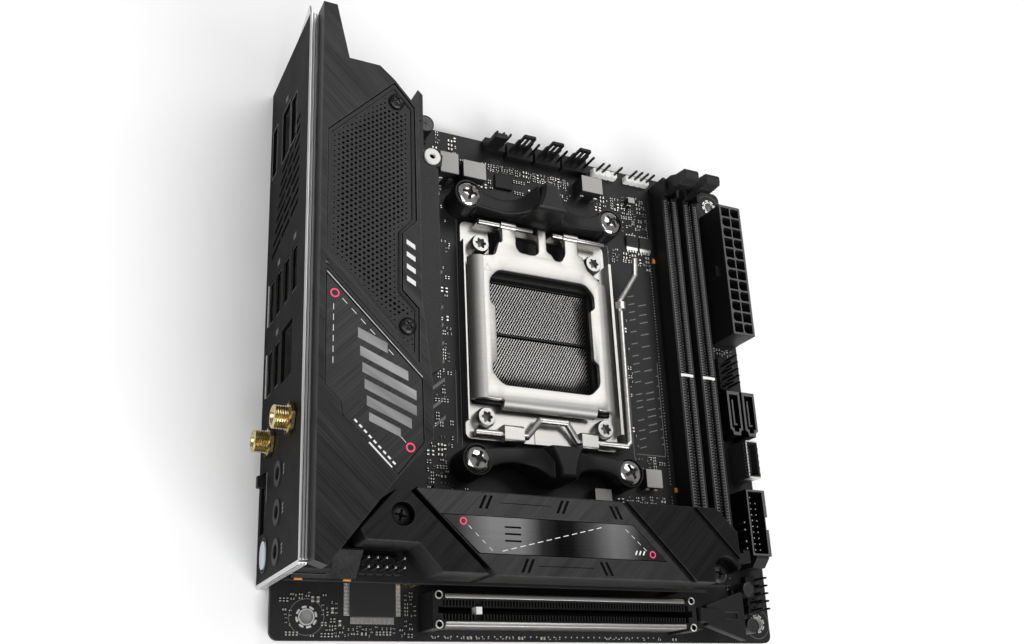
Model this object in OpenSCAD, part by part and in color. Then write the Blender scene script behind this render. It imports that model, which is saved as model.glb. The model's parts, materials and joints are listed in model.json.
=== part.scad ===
// Small square computer motherboard with rear port panel, shrouded heatsink,
// pin-grid processor socket with load plate and lever, two memory slots and one card slot.
// The part stands on the axis of the corner fixing hole, on the back face of the main board.

/* [Main board] */
// Side of the square main board
board_side = 170.18; // [170.18:0.01:170.2]
// Thickness of the main board
board_t = 1.6; // [1.4:0.1:1.8]
// Radius of the board's corners
corner_r = 2.6; // [1.5:0.1:3]
// Radius of the four fixing holes
fix_hole_r = 1.98; // [1.9:0.01:2.1]

/* [Processor socket] */
// Width of the load plate
plate_w = 52; // [51:0.5:53]
// Clear width of the load plate's window
window_w = 39; // [37:0.5:40]
// Radius of the lever wire
wire_r = 1.1; // [0.9:0.05:1.1]
// Spacing of the cooler screws across the board
cooler_dx = 54; // [53.9:0.1:54.1]
// Spacing of the cooler screws along the board
cooler_dy = 90; // [89.9:0.1:90.1]

/* [Covers] */
// Height of the port cover above the board
cover_top = 46; // [45.5:0.1:46.5]
// Height of the drive heatsink above the board
drive_top = 31; // [30.5:0.1:31.5]
// Wall of the port cover
cover_t = 1.8; // [1.5:0.1:1.8]

/* [Slots] */
// Width of a memory slot
dimm_w = 6.6; // [6.4:0.1:6.8]
// Height of a memory slot
dimm_h = 8; // [7.8:0.1:8.2]
// Height of the card slot
card_h = 11.2; // [11:0.1:11.25]

/* [Hidden] */
$fn = 48;

// fixing holes, from the board's corner beside the ports and the card slot
hole_near = [10.16, 6.35];
hole_far = [165.1, 6.35];
hole_port = [33.02, 163.83];
hole_right = [165.1, 163.83];

// processor socket
socket = [86.2, 97.6];
frame_screw = [21.5, 29.9];
frame_t = 1.6;
frame_z = 0.4;
plate_z = 5.6;
plate_t = 1.4;
plate_low = -26.8;
plate_high = 30.2;
window_h = 39.6;
hinge_y = 37.5;
hinge_z = 5.6;
hinge_r = 0.9;
ear_x = [-14.6, 9.2];
ear_w = 5.4;
roll_r = 3.8;
lever_y = -34.6;
lever_z = 3.6;
lever_arm_x = 31.4;
crank_y = 5.4;

// rear panel
panel_x = -3.1;
panel_t = 0.9;
panel_y0 = 15;
panel_y1 = 171.8;
panel_z0 = -3.7;
panel_z1 = 39.3;

// daughter board and drive stack
stack_z = 12;
stack_t = 1.4;
stack_y0 = 14.4;
stack_y1 = 38;
stack_x1 = 136.3;
drive_z = 17.5;
drive_seat = 10.2;
spacer_at = [[40, 17], [126, 33.4], [18, 45], [128, 17]];

// memory slots
dimm_x = [140.6, 149.8];
dimm_y0 = 24;
dimm_y1 = 158.6;
dimm_end = 165.6;
dimm_tower_h = 9.8;
dimm_pivot = [163.4, 3.2];
dimm_key_y = 89.6;
latch_r = 1.1;

// card slot
card_x0 = 43;
card_x1 = 132.2;
card_y = 7.6;
card_w = 10.4;
card_mid_w = 8;
card_stud_y = 4.1;
card_pivot = [134.6, 4];

// headers along the board's edges
power_pitch = 4.2;
pin_pitch = 2.54;
fan_header_at = [82.2, 93.2, 104.1];
header_y = 167;
header_base = 3.2;

// round parts: fan and capacitors
fan_at = [13, 112];
capacitor_at = [[156.9, 16.6], [156.9, 4.8]];

// places the pieces: origin at the corner hole's axis, on the board's back face
module on_board() {
    translate([-hole_near[0], -hole_near[1], board_t]) children();
}

// block between two corners
module span(low, high) {
    translate(low) cube([high[0] - low[0], high[1] - low[1], high[2] - low[2]]);
}

// upright round bar from one height to another
module post(at, low, high, r) {
    translate([at[0], at[1], low]) cylinder(h = high - low, r = r);
}

// flat shape raised between two heights
module slab(low, high) {
    translate([0, 0, low]) linear_extrude(height = high - low) children();
}

// outline in the Y-Z plane, thickened along X from x0
module side_slab(x0, x1) {
    translate([x0, 0, 0]) rotate([90, 0, 90]) linear_extrude(height = x1 - x0) children();
}

// rectangle with rounded corners, given by two corners
module round_rect(low, high, r) {
    w = high[0] - low[0];
    h = high[1] - low[1];
    translate(low) {
        translate([r, 0]) square([w - 2 * r, h]);
        translate([0, r]) square([w, h - 2 * r]);
        for (x = [r, w - r], y = [r, h - r]) translate([x, y]) circle(r);
    }
}

// cross-shaped driver recess, cut from a screw head
module cross_recess(r, depth) {
    for (a = [0, 90]) rotate(a) translate([-r, -r * 0.22, -depth]) cube([2 * r, r * 0.44, depth + 1]);
}

// pan-head screw: head on a flat seat, shank below it
module pan_screw(at, seat, head_r, head_h, shank_r, shank_low) {
    translate([at[0], at[1], seat]) difference() {
        rotate_extrude() polygon([[0, 0], [head_r, 0], [head_r, head_h * 0.45],
            [head_r * 0.8, head_h * 0.85], [head_r * 0.4, head_h], [0, head_h]]);
        translate([0, 0, head_h]) cross_recess(head_r * 0.5, head_h * 0.55);
    }
    post(at, shank_low, seat, shank_r);
}

// places of the four cooler screws and the four socket frame screws
cooler_at = [for (sx = [-1, 1], sy = [-1, 1]) socket + [sx * cooler_dx / 2, sy * cooler_dy / 2]];
frame_at = [for (sx = [-1, 1], sy = [-1, 1]) socket + [sx * frame_screw[0], sy * frame_screw[1]]];
grille_at = [[20.6, 144.4], [23.2, 76.4]];
drive_side_at = [26.9, 29.6];
drive_end_at = [130.4, 18];

// ---------- boards ----------

module pcb() {
    color("#17181a") on_board() slab(-board_t, 0) difference() {
        round_rect([0, 0], [board_side, board_side], corner_r);
        for (p = [hole_near, hole_far, hole_port, hole_right]) translate(p) circle(fix_hole_r);
        for (p = cooler_at) translate(p) circle(2.1);
        for (p = frame_at) translate(p) circle(1.9);
        // notch for the sunken wide port
        translate([-1, wide_port[0][0] - 0.8])
            square([13.6, wide_port[1][0] - wide_port[0][0] + 1.6]);
    }
}

module daughter_board() {
    color("#1a1b1c") on_board() slab(stack_z - stack_t, stack_z)
        polygon([[0.9, stack_y0], [stack_x1, stack_y0], [stack_x1, 34], [132, stack_y1],
            [22, stack_y1], [22, 48], [0.9, 48]]);
}

module board_spacers() {
    color("#b9b4a2") on_board() {
        for (p = spacer_at) difference() {
            post(p, 0, stack_z - stack_t, 2.4);
            post(p, 4, stack_z, 1.1);
        }
        for (p = [drive_side_at, drive_end_at]) difference() {
            post(p, stack_z, drive_z, 2.4);
            post(p, stack_z - 1, drive_z + 1, 1.55);
        }
        post([37.4, 33], stack_z, drive_z, 1.6);
    }
}

module board_connector() {
    color("#20201f") on_board() span([50, 30, 0], [86, 35.5, stack_z - stack_t]);
}

module backplate() {
    color("#3a3b3d") on_board() difference() {
        union() {
            slab(-board_t - 2.4, -board_t) difference() {
                union() {
                    translate(socket) round_rect([-33, -50], [33, 50], 6);
                    translate(socket) round_rect([-37, -30], [37, 30], 5);
                }
                translate(socket) round_rect([-15, -15], [15, 15], 3);
            }
            for (p = cooler_at) post(p, -board_t, 2, 2);
            for (p = frame_at) post(p, -board_t, 0, 1.8);
        }
        for (p = cooler_at) post(p, -board_t - 3, 3, 1.55);
        for (p = frame_at) post(p, -board_t - 3, 1, 1.25);
    }
}

// ---------- rear panel ----------

// port openings: low and high corners in Y and Z
usb_ports = [
    [[89.4, 26], [103, 31.4]], [[89.4, 17.4], [103, 22.8]],
    [[89.4, 8.8], [103, 14.2]], [[89.4, 0.6], [103, 6]],
    [[67.4, 8.8], [81, 14.2]], [[67.4, 0.6], [81, 6]]
];
lan_port = [[66.4, 17.2], [82, 28]];
display_port = [[138.4, 10.8], [155.6, 19.4]];
hdmi_port = [[138.8, 21], [153.8, 26.8]];
wide_port = [[139.4, -1.1], [156.2, 4.4]];
audio_at = [[41.4, 17.6], [31, 17.6], [20.6, 17.6]];
antenna_at = [[52.8, 30.6], [52.3, 9]];
button_at = [21.9, 4.4];
switch_slot = [[28.2, -1.2], [45.4, 3.8]];
vent_pitch = 3.4;
vent_count = 9;

// outline of one port opening
module port_hole(p, gap) {
    round_rect(p[0] - [gap, gap], p[1] + [gap, gap], 0.4);
}

// oval of the push button
module oval(at, w, h) {
    translate(at) round_rect([-w / 2, -h / 2], [w / 2, h / 2], h / 2 - 0.05);
}

module port_panel() {
    color("#232425") on_board() side_slab(panel_x, panel_x + panel_t) difference() {
        translate([panel_y0, panel_z0]) square([panel_y1 - panel_y0, panel_z1 - panel_z0]);
        for (p = usb_ports) port_hole(p, 0);
        port_hole(display_port, 0);
        port_hole(hdmi_port, 0);
        port_hole(wide_port, 0);
        port_hole(lan_port, 0);
        for (p = audio_at) translate(p) circle(3.2);
        for (p = antenna_at) translate(p) circle(3.4);
        port_hole(switch_slot, 0);
        oval(button_at, 8.6, 7);
        for (i = [0:vent_count - 1]) translate([110.5 + i * vent_pitch, 0])
            polygon([[0, 2 + i * 1.4], [1.4, 2 + i * 1.4], [6.4, 31], [5, 31]]);
    }
}

// trim band: three ribs along the top edge and along the near end
module port_panel_rim() {
    color("#c9cacb") on_board() {
        span([panel_x, panel_y0 - 0.8, panel_z1], [-0.8, panel_y1, panel_z1 + 0.5]);
        for (i = [0:2]) span([panel_x + 0.15 + i * 0.8, panel_y0, panel_z1 + 0.5],
            [panel_x + 0.6 + i * 0.8, panel_y1, panel_z1 + 0.8]);
        span([panel_x, panel_y0 - 0.8, panel_z0], [-0.8, panel_y0, panel_z1]);
        for (i = [0:2]) span([panel_x + 0.15 + i * 0.8, panel_y0 - 1.1, panel_z0],
            [panel_x + 0.6 + i * 0.8, panel_y0 - 0.8, panel_z1]);
        side_slab(panel_x, panel_x + 0.5) polygon([[panel_y1, 26], [panel_y1, panel_z1],
            [panel_y1 + 3.4, panel_z1 - 1]]);
    }
}

// ---------- port cover, fan and power heatsink ----------

cover_outline = [[-1, 13.8], [2.2, 12.7], [19.5, 34.7], [29.7, 46.1], [29.8, 61.3], [27.2, 84.3],
    [27, 143.3], [19.9, 151.2], [15.6, 154.8], [6.6, 154.8], [2.9, 171.6], [-1, 171.6]];
grille_outline = [[19.9, 150.3], [0.8, 130.7], [0.8, 94.4], [18.8, 75.3], [18.8, 73.7],
    [26.2, 66.2], [26.4, 81.7], [21.8, 86.4], [22, 103.1], [26, 107.5], [26, 143.3]];
accent_outline = [[0.8, 88.2], [27, 62], [27.2, 44.7], [20, 35.8], [5.3, 50.2], [5.1, 53.3], [0.8, 57.6]];
cover_wall_z = 40.4;
deck_t = 1;
deck_z = cover_top - cover_t;

nut_at = [41.3, 145.4];

// the cover's outline drawn in from its edge
module cover_inside() {
    polygon([[1.4, 16], [2, 16], [18, 36.6], [27.8, 47], [27.9, 61], [25.4, 83.6], [25.2, 142.6],
        [18.6, 149.6], [15, 153], [5.2, 153], [1.6, 169.8], [1.4, 169.8]]);
}

module port_cover() {
    color("#38393b") on_board() {
        slab(deck_z, cover_top) difference() {
            polygon(cover_outline);
            polygon(grille_outline);
            polygon(accent_outline);
        }
        slab(deck_z - deck_t, deck_z) difference() {
            polygon(cover_outline);
            translate([13, 112]) circle(11.4);
            for (p = grille_at) translate(p) circle(1.5);
        }
        slab(cover_wall_z, deck_z - deck_t) difference() {
            polygon(cover_outline);
            cover_inside();
        }
        slab(22.2, cover_wall_z) difference() {
            polygon(cover_outline);
            cover_inside();
            translate([-2, 0]) square([3.6, 180]);
            translate([-2, 10]) square([40, 37]);
            translate([-2, 150]) square([15.5, 25]);
        }
        // sloping foot and the rib that carries it
        side_slab(11, 19.6) polygon([[14.9, 12.2], [14.9, 13.6], [21.4, 20.4], [21.9, 20.4], [21.9, 18.6],
            [16.4, 12.2]]);
        side_slab(2, 11) polygon([[14.9, 12.2], [14.9, 13.6], [15.8, 14.5], [15.8, 12.2]]);
        side_slab(11, 12.6) polygon([[19, 16.2], [21.9, 18.6], [30, cover_wall_z],
            [26.5, cover_wall_z], [21.4, 20.4]]);
    }
}

// perforated grille: staggered rows of holes inside a plain border
row_pitch = 2.7;
hole_pitch = 2.5;

module fan_grille() {
    color("#2a2b2c") on_board() slab(deck_z, cover_top - 0.3) difference() {
        polygon(grille_outline);
        for (i = [0:6], j = [0:19])
            translate([5 + i * row_pitch, 92 + (j + (i % 2) / 2) * hole_pitch]) circle(0.75, $fn = 12);
        for (p = grille_at) translate(p) circle(1.3);
    }
}

module grille_screws() {
    color("#202122") on_board() for (p = grille_at) {
        pan_screw(p, cover_top - 0.3, 2.3, 1.1, 1.2, deck_z - 2.4);
    }
}

module accent_plate() {
    color("#55575a") on_board() slab(deck_z, cover_top - 0.2) polygon(accent_outline);
}

module power_heatsink() {
    color("#3d3e40") on_board() {
        slab(3, 21) difference() {
            polygon([[24, 49], [29, 49], [32, 66], [37.5, 72], [43.4, 76], [43.4, 141.4], [38.6, 146],
                [38.6, 157.4], [24, 157.4]]);
            for (i = [0:6]) translate([25.4, 84 + i * 8]) square([6.6, 3]);
            translate(nut_at) circle(2);
        }
        slab(16.4, 21) difference() {
            polygon([[40.9, 141.6], [44.6, 143], [45, 146.6], [42.4, 149], [38.9, 147.4], [38.9, 146.2]]);
            translate(nut_at) circle(2);
        }
        // end fin that stands on the board beyond the fixing hole
        slab(0, 21) polygon([[37, 157.7], [38.6, 157.7], [38.6, 167.2], [37, 168.8]]);
        for (p = [[26, 52], [39, 90], [39, 130], [26, 154]]) post(p, 0, 3, 1.2);
    }
}

module heatsink_nut() {
    color("#eeeeec") on_board() difference() {
        union() {
            post(nut_at, 21, 21.8, 2.7);
            post(nut_at, 16.4, 21, 1.95);
        }
        post(nut_at, 15, 23, 0.95);
    }
}

module fan_frame() {
    color("#1c1d1e") on_board() {
        slab(33, deck_z - deck_t) difference() {
            translate(fan_at) round_rect([-11.6, -13.6], [11.8, 13.6], 2);
            translate(fan_at) circle(11);
        }
        slab(33, 34) difference() {
            translate(fan_at) union() {
                circle(4);
                for (a = [30:120:270]) rotate(a) translate([3, -0.8]) square([8.4, 1.6]);
            }
            translate(fan_at) circle(1.06);
        }
    }
}

module fan_rotor() {
    color("#161718") on_board() translate([fan_at[0], fan_at[1], 0]) {
        translate([0, 0, 34.4]) cylinder(h = 7.2, r = 4.2);
        translate([0, 0, 33.2]) cylinder(h = 1.4, r = 1);
        for (i = [0:8]) rotate(i * 40) translate([3.8, -0.5, 35]) rotate([26, 0, 0]) cube([6.6, 0.9, 6]);
    }
}

// ---------- processor socket ----------

module socket_housing() {
    color("#232323") on_board() translate(socket) {
        difference() {
            slab(0, 4.2) difference() {
                round_rect([-25, -24.6], [25, 24.8], 1.5);
                round_rect([-18.6, -18.6], [18.6, 18.6], 0.5);
            }
            translate([-30, -30, 3]) cube([6, 60, 3]);
            translate([24, -30, 3]) cube([6, 60, 3]);
        }
    }
}

module contact_field() {
    color("#6f6e69") on_board() translate([socket[0], socket[1], 0]) difference() {
        slab(0, 2.2) round_rect([-18.6, -18.6], [18.6, 18.6], 0.5);
        span([-20, -0.5, 1.8], [20, 0.5, 3]);
    }
}

// round bar along X
module bar_x(x0, x1, y, z, r) {
    translate([x0, y, z]) rotate([0, 90, 0]) cylinder(h = x1 - x0, r = r);
}

// steel stiffening frame around the socket, with folded walls and wire hooks
module socket_frame() {
    color("#cfcecb") on_board() translate([socket[0], socket[1], 0]) {
        slab(frame_z, frame_z + frame_t) difference() {
            round_rect([-27.4, -36.4], [27.6, 38.6], 2);
            round_rect([-25.3, -25], [25.3, 25.2], 1);
            translate([-17.2, 24]) square([34.4, 12.4]);
            for (sx = [-1, 1], sy = [-1, 1])
                translate([sx * frame_screw[0], sy * frame_screw[1]]) circle(1.9);
        }
        span([-27.4, -31, frame_z + frame_t], [-26.9, 31, 4.4]);
        span([27.6, -31, frame_z], [28.6, 31, 5]);
        // hinge rails: a folded wall with a window for each ear, and a round bar along its top
        for (s = [[-22.4, -2.4, ear_x[0]], [5.4, 25.6, ear_x[1]]]) {
            difference() {
                span([s[0], hinge_y + 0.2, frame_z], [s[1], hinge_y + 1, hinge_z]);
                span([s[2] - 0.5, hinge_y - 1, hinge_z - 2.2],
                    [s[2] + ear_w + 0.5, hinge_y + 2, hinge_z + 1]);
            }
            bar_x(s[0], s[1], hinge_y, hinge_z, hinge_r);
        }
        // tongue under the lever's crank
        span([-3.4, -36.4, frame_z + frame_t], [8.6, -31.6, frame_z + frame_t + 0.25]);
        // wire hooks
        for (x = [[-15.6, -8.8], [12.2, 18.2]]) difference() {
            side_slab(x[0], x[1]) round_rect([lever_y - 2.8, frame_z + frame_t - 0.5],
                [lever_y + 2.9, lever_z + 1.9], 1);
            bar_x(x[0] - 1, x[1] + 1, lever_y, lever_z, wire_r + 0.05);
        }
    }
}

// quarter turn of the rolled edge, from the flat top down to the rim
function roll(rx, rz, z) = [for (a = [0:15:90]) [plate_w / 2 - roll_r + rx * sin(a), z + rz * cos(a)]];

// section of the plate across the socket: flat in the middle, rolled down at both sides
module plate_section() {
    rim_z = plate_z - 2.2;
    top_z = plate_z + plate_t;
    outer = roll(roll_r, top_z - rim_z, rim_z);
    inner = roll(roll_r - 1.2, plate_z - rim_z, rim_z);
    last = len(inner) - 1;
    for (s = [0, 1]) mirror([s, 0])
        polygon(concat([[-1, plate_z], [-1, top_z]], outer, [for (i = [0:last]) inner[last - i]]));
}

// load plate: window frame with rolled sides, two hinge ears and a middle tab
module load_plate() {
    hw = plate_w / 2;
    color("#d6d5d2") on_board() translate([socket[0], socket[1], 0]) {
        intersection() {
            slab(plate_z - 2.2, plate_z + plate_t) difference() {
                polygon([[-hw, plate_low + 2.4], [-17, plate_low + 2.4], [-15.6, plate_low],
                    [18, plate_low], [19.4, plate_low + 2.4], [hw, plate_low + 2.4],
                    [hw, 21.4], [17.6, 26.4], [16, 31], [-15.8, 31], [-17.4, 26], [-hw, 25]]);
                difference() {
                    round_rect([-window_w / 2, -window_h / 2 + 0.6], [window_w / 2, window_h / 2 + 0.6], 3);
                    translate([-window_w / 2 - 1, -12]) square([3, 20]);
                    translate([window_w / 2 - 2, -8]) square([3, 20]);
                }
            }
            translate([0, 40, 0]) rotate([90, 0, 0]) linear_extrude(height = 80) plate_section();
        }
        // folded near wall
        span([-15, plate_low, 4.4], [17, plate_low + 1.2, plate_z]);
        // ears and middle tab over the hinge line
        for (x = ear_x) difference() {
            union() {
                span([x, 30.9, hinge_z], [x + ear_w, hinge_y, plate_z + plate_t]);
                bar_x(x, x + ear_w, hinge_y, hinge_z, 1.7);
            }
            bar_x(x - 1, x + ear_w + 1, hinge_y, hinge_z, hinge_r + 0.05);
        }
        span([-1, 31, plate_z], [2.4, 38.4, plate_z + plate_t]);
    }
}

// round wire through a list of points, with a slightly fuller ball at each turn
module wire(points, r) {
    for (i = [0:len(points) - 2]) {
        d = points[i + 1] - points[i];
        l = norm(d);
        translate(points[i]) rotate([0, acos(d[2] / l), atan2(d[1], d[0])]) cylinder(h = l, r = r);
        if (i > 0) translate(points[i]) sphere(r + 0.05);
    }
}

// lever: a wire along the hinge line with a raised crank, then a long arm with a finger end
lever_line = [[-25, lever_y, lever_z], [-7, lever_y, lever_z],
    [-2.6, lever_y + crank_y, lever_z + 1.2], [7, lever_y + crank_y, lever_z + 1.2],
    [11.4, lever_y, lever_z], [lever_arm_x - 1.2, lever_y, lever_z],
    [lever_arm_x, lever_y + 1.4, lever_z], [lever_arm_x, 17.6, lever_z + 0.8],
    [lever_arm_x + 5.6, 27.4, lever_z + 3.4], [lever_arm_x + 4.4, 32.6, lever_z + 6]];

module load_lever() {
    color("#dcdad4") on_board() translate([socket[0], socket[1], 0]) {
        wire(lever_line, wire_r);
        translate([lever_arm_x, 14.2, lever_z + 0.74]) rotate([-90, 0, 0])
            cylinder(h = 2.6, r = wire_r + 1.2);
    }
}

module socket_screws() {
    color("#dddcd9") on_board() for (p = frame_at) {
        translate([p[0], p[1], frame_z + frame_t]) difference() {
            cylinder(h = 3.4, r = 3.25);
            for (a = [0, 60, 120]) rotate(a) translate([-1.7, -0.5, 1.8]) cube([3.4, 1, 2]);
        }
        post(p, -board_t - 2.4, frame_z + frame_t, 1.2);
    }
}

// ---------- cooler brackets ----------

// bracket seen with its hook pointing along +Y; v is measured from the screw line
module bracket() {
    difference() {
        union() {
            for (x = [-27, 27]) post([x, 0], 0, 9.4, 5.1);
            slab(2.6, 9.4) difference() {
                translate([-27, -4.2]) square([54, 8]);
                for (x = [-15.6, 15.6]) translate([x, 11.2]) circle(10.6);
                for (x = [-27, 27]) translate([x, 0]) circle(3);
            }
            slab(2.6, 14) polygon([[-8, -4.2], [8, -4.2], [5.6, 4], [5.2, 5.6], [-5.2, 5.6], [-5.6, 4]]);
            slab(14, 17.4) polygon([[-5.6, -4.6], [5.6, -4.6], [4.4, 6.6], [-4.4, 6.6]]);
        }
        for (x = [-27, 27]) {
            post([x, 0], 7.4, 10, 4.45);
            post([x, 0], -1, 8, 2.15);
        }
        span([-3.6, 0.6, 0], [3.6, 3.6, 12.6]);
    }
}

module cooler_bracket_top() {
    color("#2c2c2d") on_board() translate([socket[0], socket[1] + cooler_dy / 2, 0]) bracket();
}

module cooler_bracket_bottom() {
    color("#2c2c2d") on_board() translate([socket[0], socket[1] - cooler_dy / 2, 0])
        rotate([0, 0, 180]) bracket();
}

module bracket_screws() {
    color("#e4e3df") on_board() for (p = cooler_at) pan_screw(p, 7.4, 4.25, 2.5, 1.5, -board_t - 2);
}

// ---------- memory slots ----------

module dimm_slot(x) {
    hw = dimm_w / 2;
    color("#1b1b1c") on_board() {
        difference() {
            span([x - hw, dimm_y0, 0], [x + hw, dimm_y1, dimm_h]);
            span([x - 0.75, dimm_y0 + 3, 1.6], [x + 0.75, dimm_y1 + 1, dimm_h + 1]);
            for (s = [-1, 1]) span([x + s * 1.9 - 0.55, dimm_y0 + 4, dimm_h - 1.2],
                [x + s * 1.9 + 0.55, dimm_y1 - 1, dimm_h + 1]);
        }
        span([x - 0.75, dimm_key_y - 0.8, 1.6], [x + 0.75, dimm_key_y + 0.8, dimm_h]);
        // fixed end
        difference() {
            span([x - hw, dimm_y0, dimm_h], [x + hw, dimm_y0 + 4, 15]);
            span([x - 0.75, dimm_y0 + 3, dimm_h], [x + 0.75, dimm_y0 + 6, 16]);
        }
        // tower that holds the latch between two cheeks
        difference() {
            span([x - hw, dimm_y1, 0], [x + hw, dimm_end, dimm_tower_h]);
            span([x - 2.1, dimm_y1 - 1, 1.2], [x + 2.1, dimm_end + 1, 14]);
            bar_x(x - 5, x + 5, dimm_pivot[0], dimm_pivot[1], latch_r + 0.04);
        }
    }
}

module dimm_slot_a() {
    dimm_slot(dimm_x[0]);
}

module dimm_slot_b() {
    dimm_slot(dimm_x[1]);
}

// contact strips that line both sides of the two slots
module dimm_contacts() {
    color("#8c8a83") on_board() for (x = dimm_x, s = [-1, 1]) {
        for (y = [[dimm_y0 + 4.2, dimm_key_y - 1], [dimm_key_y + 1, dimm_y1 - 1.2]])
            span([x + s * 1.9 - 0.5, y[0], dimm_h - 1.2], [x + s * 1.9 + 0.5, y[1], dimm_h - 0.3]);
    }
}

// swinging latch: pin, foot, arm and ribbed finger pad
module dimm_latch(x) {
    color("#222223") on_board() translate([x, 0, 0]) {
        side_slab(-1.8, 1.8) polygon([[159.2, 1.8], [164.6, 1.8], [165.4, 3.4], [165.2, 12.6],
            [164, 15.4], [160.6, 15.4], [160.6, 4.4], [159.2, 4.2]]);
        side_slab(-2.75, 2.75) polygon([[158.9, 15.4], [163.2, 15.4], [163, 17.4], [162.4, 22.2],
            [160, 22.8], [158.4, 22.2], [158.5, 16.6]]);
        bar_x(0.1 - dimm_w / 2, dimm_w / 2 - 0.1, dimm_pivot[0], dimm_pivot[1], latch_r);
    }
}

module dimm_latch_a() {
    dimm_latch(dimm_x[0]);
}

module dimm_latch_b() {
    dimm_latch(dimm_x[1]);
}

// ---------- headers ----------

// keyed power socket: two columns of cavities, some with cut corners
module power_header(at, rows) {
    l = rows * power_pitch + 1.2;
    translate([at[0], at[1], 0]) {
        difference() {
            cube([9.6, l, 12.8]);
            for (i = [0:rows - 1], j = [0, 1])
                translate([0.85 + j * 4.2, 0.85 + i * power_pitch, 3]) cube([3.6, 3.5, 12]);
        }
        for (i = [0:rows - 1], j = [0, 1])
            translate([2.2 + j * 4.2, 2.2 + i * power_pitch, 3]) cube([0.9, 0.9, 7]);
        translate([-1.5, l / 2 - 2, 4]) cube([1.5, 4, 5]);
    }
}

module main_power_header() {
    color("#1d1d1e") on_board() power_header([159.2, 106], 12);
}

module cpu_power_header() {
    color("#1d1d1e") on_board() translate([23, 159.6, 0]) rotate([0, 0, 90]) power_header([0, 0], 4);
}

// row block of square pins on a plastic base; skip lists pins left out
module pin_block(at, nx, ny, base_h, tip, skip) {
    translate([at[0], at[1], 0]) {
        translate([-pin_pitch / 2, -pin_pitch / 2, 0]) cube([nx * pin_pitch, ny * pin_pitch, base_h]);
        for (i = [0:nx - 1], j = [0:ny - 1])
            if (len([for (k = skip) if (k == i + j * nx) k]) == 0)
                translate([i * pin_pitch - 0.32, j * pin_pitch - 0.32, base_h])
                    cube([0.64, 0.64, tip - base_h]);
    }
}

// four-pin header with a slotted locking tab behind its pins
module fan_header(x) {
    translate([x, header_y, 0]) {
        translate([-2 * pin_pitch, -2.6, 0]) cube([4 * pin_pitch, 5.6, header_base]);
        for (i = [0:3]) translate([(i - 1.5) * pin_pitch - 0.32, -0.72, header_base])
            cube([0.64, 0.64, 7.6]);
        difference() {
            translate([-1.9, 1.3, header_base]) cube([4.7, 1, 7.6]);
            translate([-1.1, 1, 4.8]) cube([3, 1.6, 4.4]);
        }
    }
}

// three-pin header turned round, with a solid tab before its pins
module pump_header() {
    translate([72.65, header_y, 0]) {
        translate([-1.5 * pin_pitch, -1.4, 0]) cube([3 * pin_pitch, 4.4, header_base]);
        for (i = [-1:1]) translate([i * pin_pitch - 0.32, 0.7, header_base]) cube([0.64, 0.64, 7.6]);
        translate([-3.7, -1.4, header_base]) cube([4.7, 1.8, 8]);
    }
}

module fan_headers() {
    color("#1a1a1b") on_board() {
        pump_header();
        for (x = fan_header_at) fan_header(x);
    }
}

module light_headers() {
    color("#e9e9e5") on_board() {
        pin_block([113.6, header_y], 4, 1, 2.6, 8.2, [2]);
        pin_block([127.5, header_y], 4, 1, 2.6, 8.2, []);
    }
}

module panel_header() {
    color("#1a1a1b") on_board() pin_block([160.4, 89.6], 2, 5, 2.5, 8.6, [8]);
}

module usb2_header() {
    color("#1a1a1b") on_board() pin_block([161.6, 10.4], 2, 5, 2.5, 8.6, [8]);
}

module audio_header() {
    color("#1a1a1b") on_board() translate([0, 0, stack_z])
        pin_block([21.2, 17.4], 5, 2, 2.5, 8.4, [8]);
}

// upright drive port: keyed shell with an L-shaped tongue
module sata_port(x) {
    translate([x, 85.8, 0]) mirror([0, 1, 0]) {
        difference() {
            union() {
                cube([5.6, 14.8, 8.5]);
                translate([1, 14.8, 0]) cube([3.4, 1.4, 8.5]);
            }
            translate([1, 1.6, 2]) cube([3.4, 12, 8]);
        }
        translate([2.2, 3, 2]) cube([1.1, 9.4, 6]);
    }
}

module sata_port_a() {
    color("#161617") on_board() sata_port(156.4);
}

module sata_port_b() {
    color("#161617") on_board() sata_port(162.9);
}

module usb_c_header() {
    color("#b9b9b6") on_board() translate([161, 54.4, 0]) {
        difference() {
            cube([5.2, 13.2, 10]);
            translate([0.7, 0.7, 2]) cube([3.8, 11.8, 9]);
        }
        translate([2.1, 2, 2]) cube([1, 9.2, 6]);
    }
}

module usb3_header() {
    color("#141415") on_board() {
        difference() {
            span([159, 27.6, 0], [167, 50.2, 9.5]);
            span([159.8, 28.4, 2], [166.2, 49.4, 10]);
            span([166, 36.6, 3], [168, 41, 10]);
        }
        for (i = [0:9], j = [0, 1]) if (i + j * 10 != 19)
            span([161.7 + j * 2, 29.7 + i * 2, 2], [162.2 + j * 2, 30.2 + i * 2, 7.4]);
        // ramp that a plug's latch climbs
        side_slab(160.4, 165.8) polygon([[27.6, 0], [27.6, 9.5], [24.4, 7], [24, 0]]);
        for (y = [30.2, 32.6, 36.6, 39]) span([157.9, y - 0.3, 0], [158.5, y + 0.3, 8]);
    }
}

// ---------- components ----------

// plain body of one component, standing on the board
module block(low, high, h) {
    span([low[0], low[1], 0], [high[0], high[1], h]);
}

module chokes() {
    color("#9c9b98") on_board() {
        block([50.2, 150.2], [56.8, 158], 7.2);
        block([58.4, 150.2], [66.8, 156.6], 7.2);
        block([104.9, 155.2], [113.4, 161.6], 6);
        block([126, 156.4], [128.9, 158.8], 3);
        block([122.9, 49.6], [129.2, 56], 4);
        block([102.7, 41.4], [109, 48], 4);
    }
}

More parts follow.
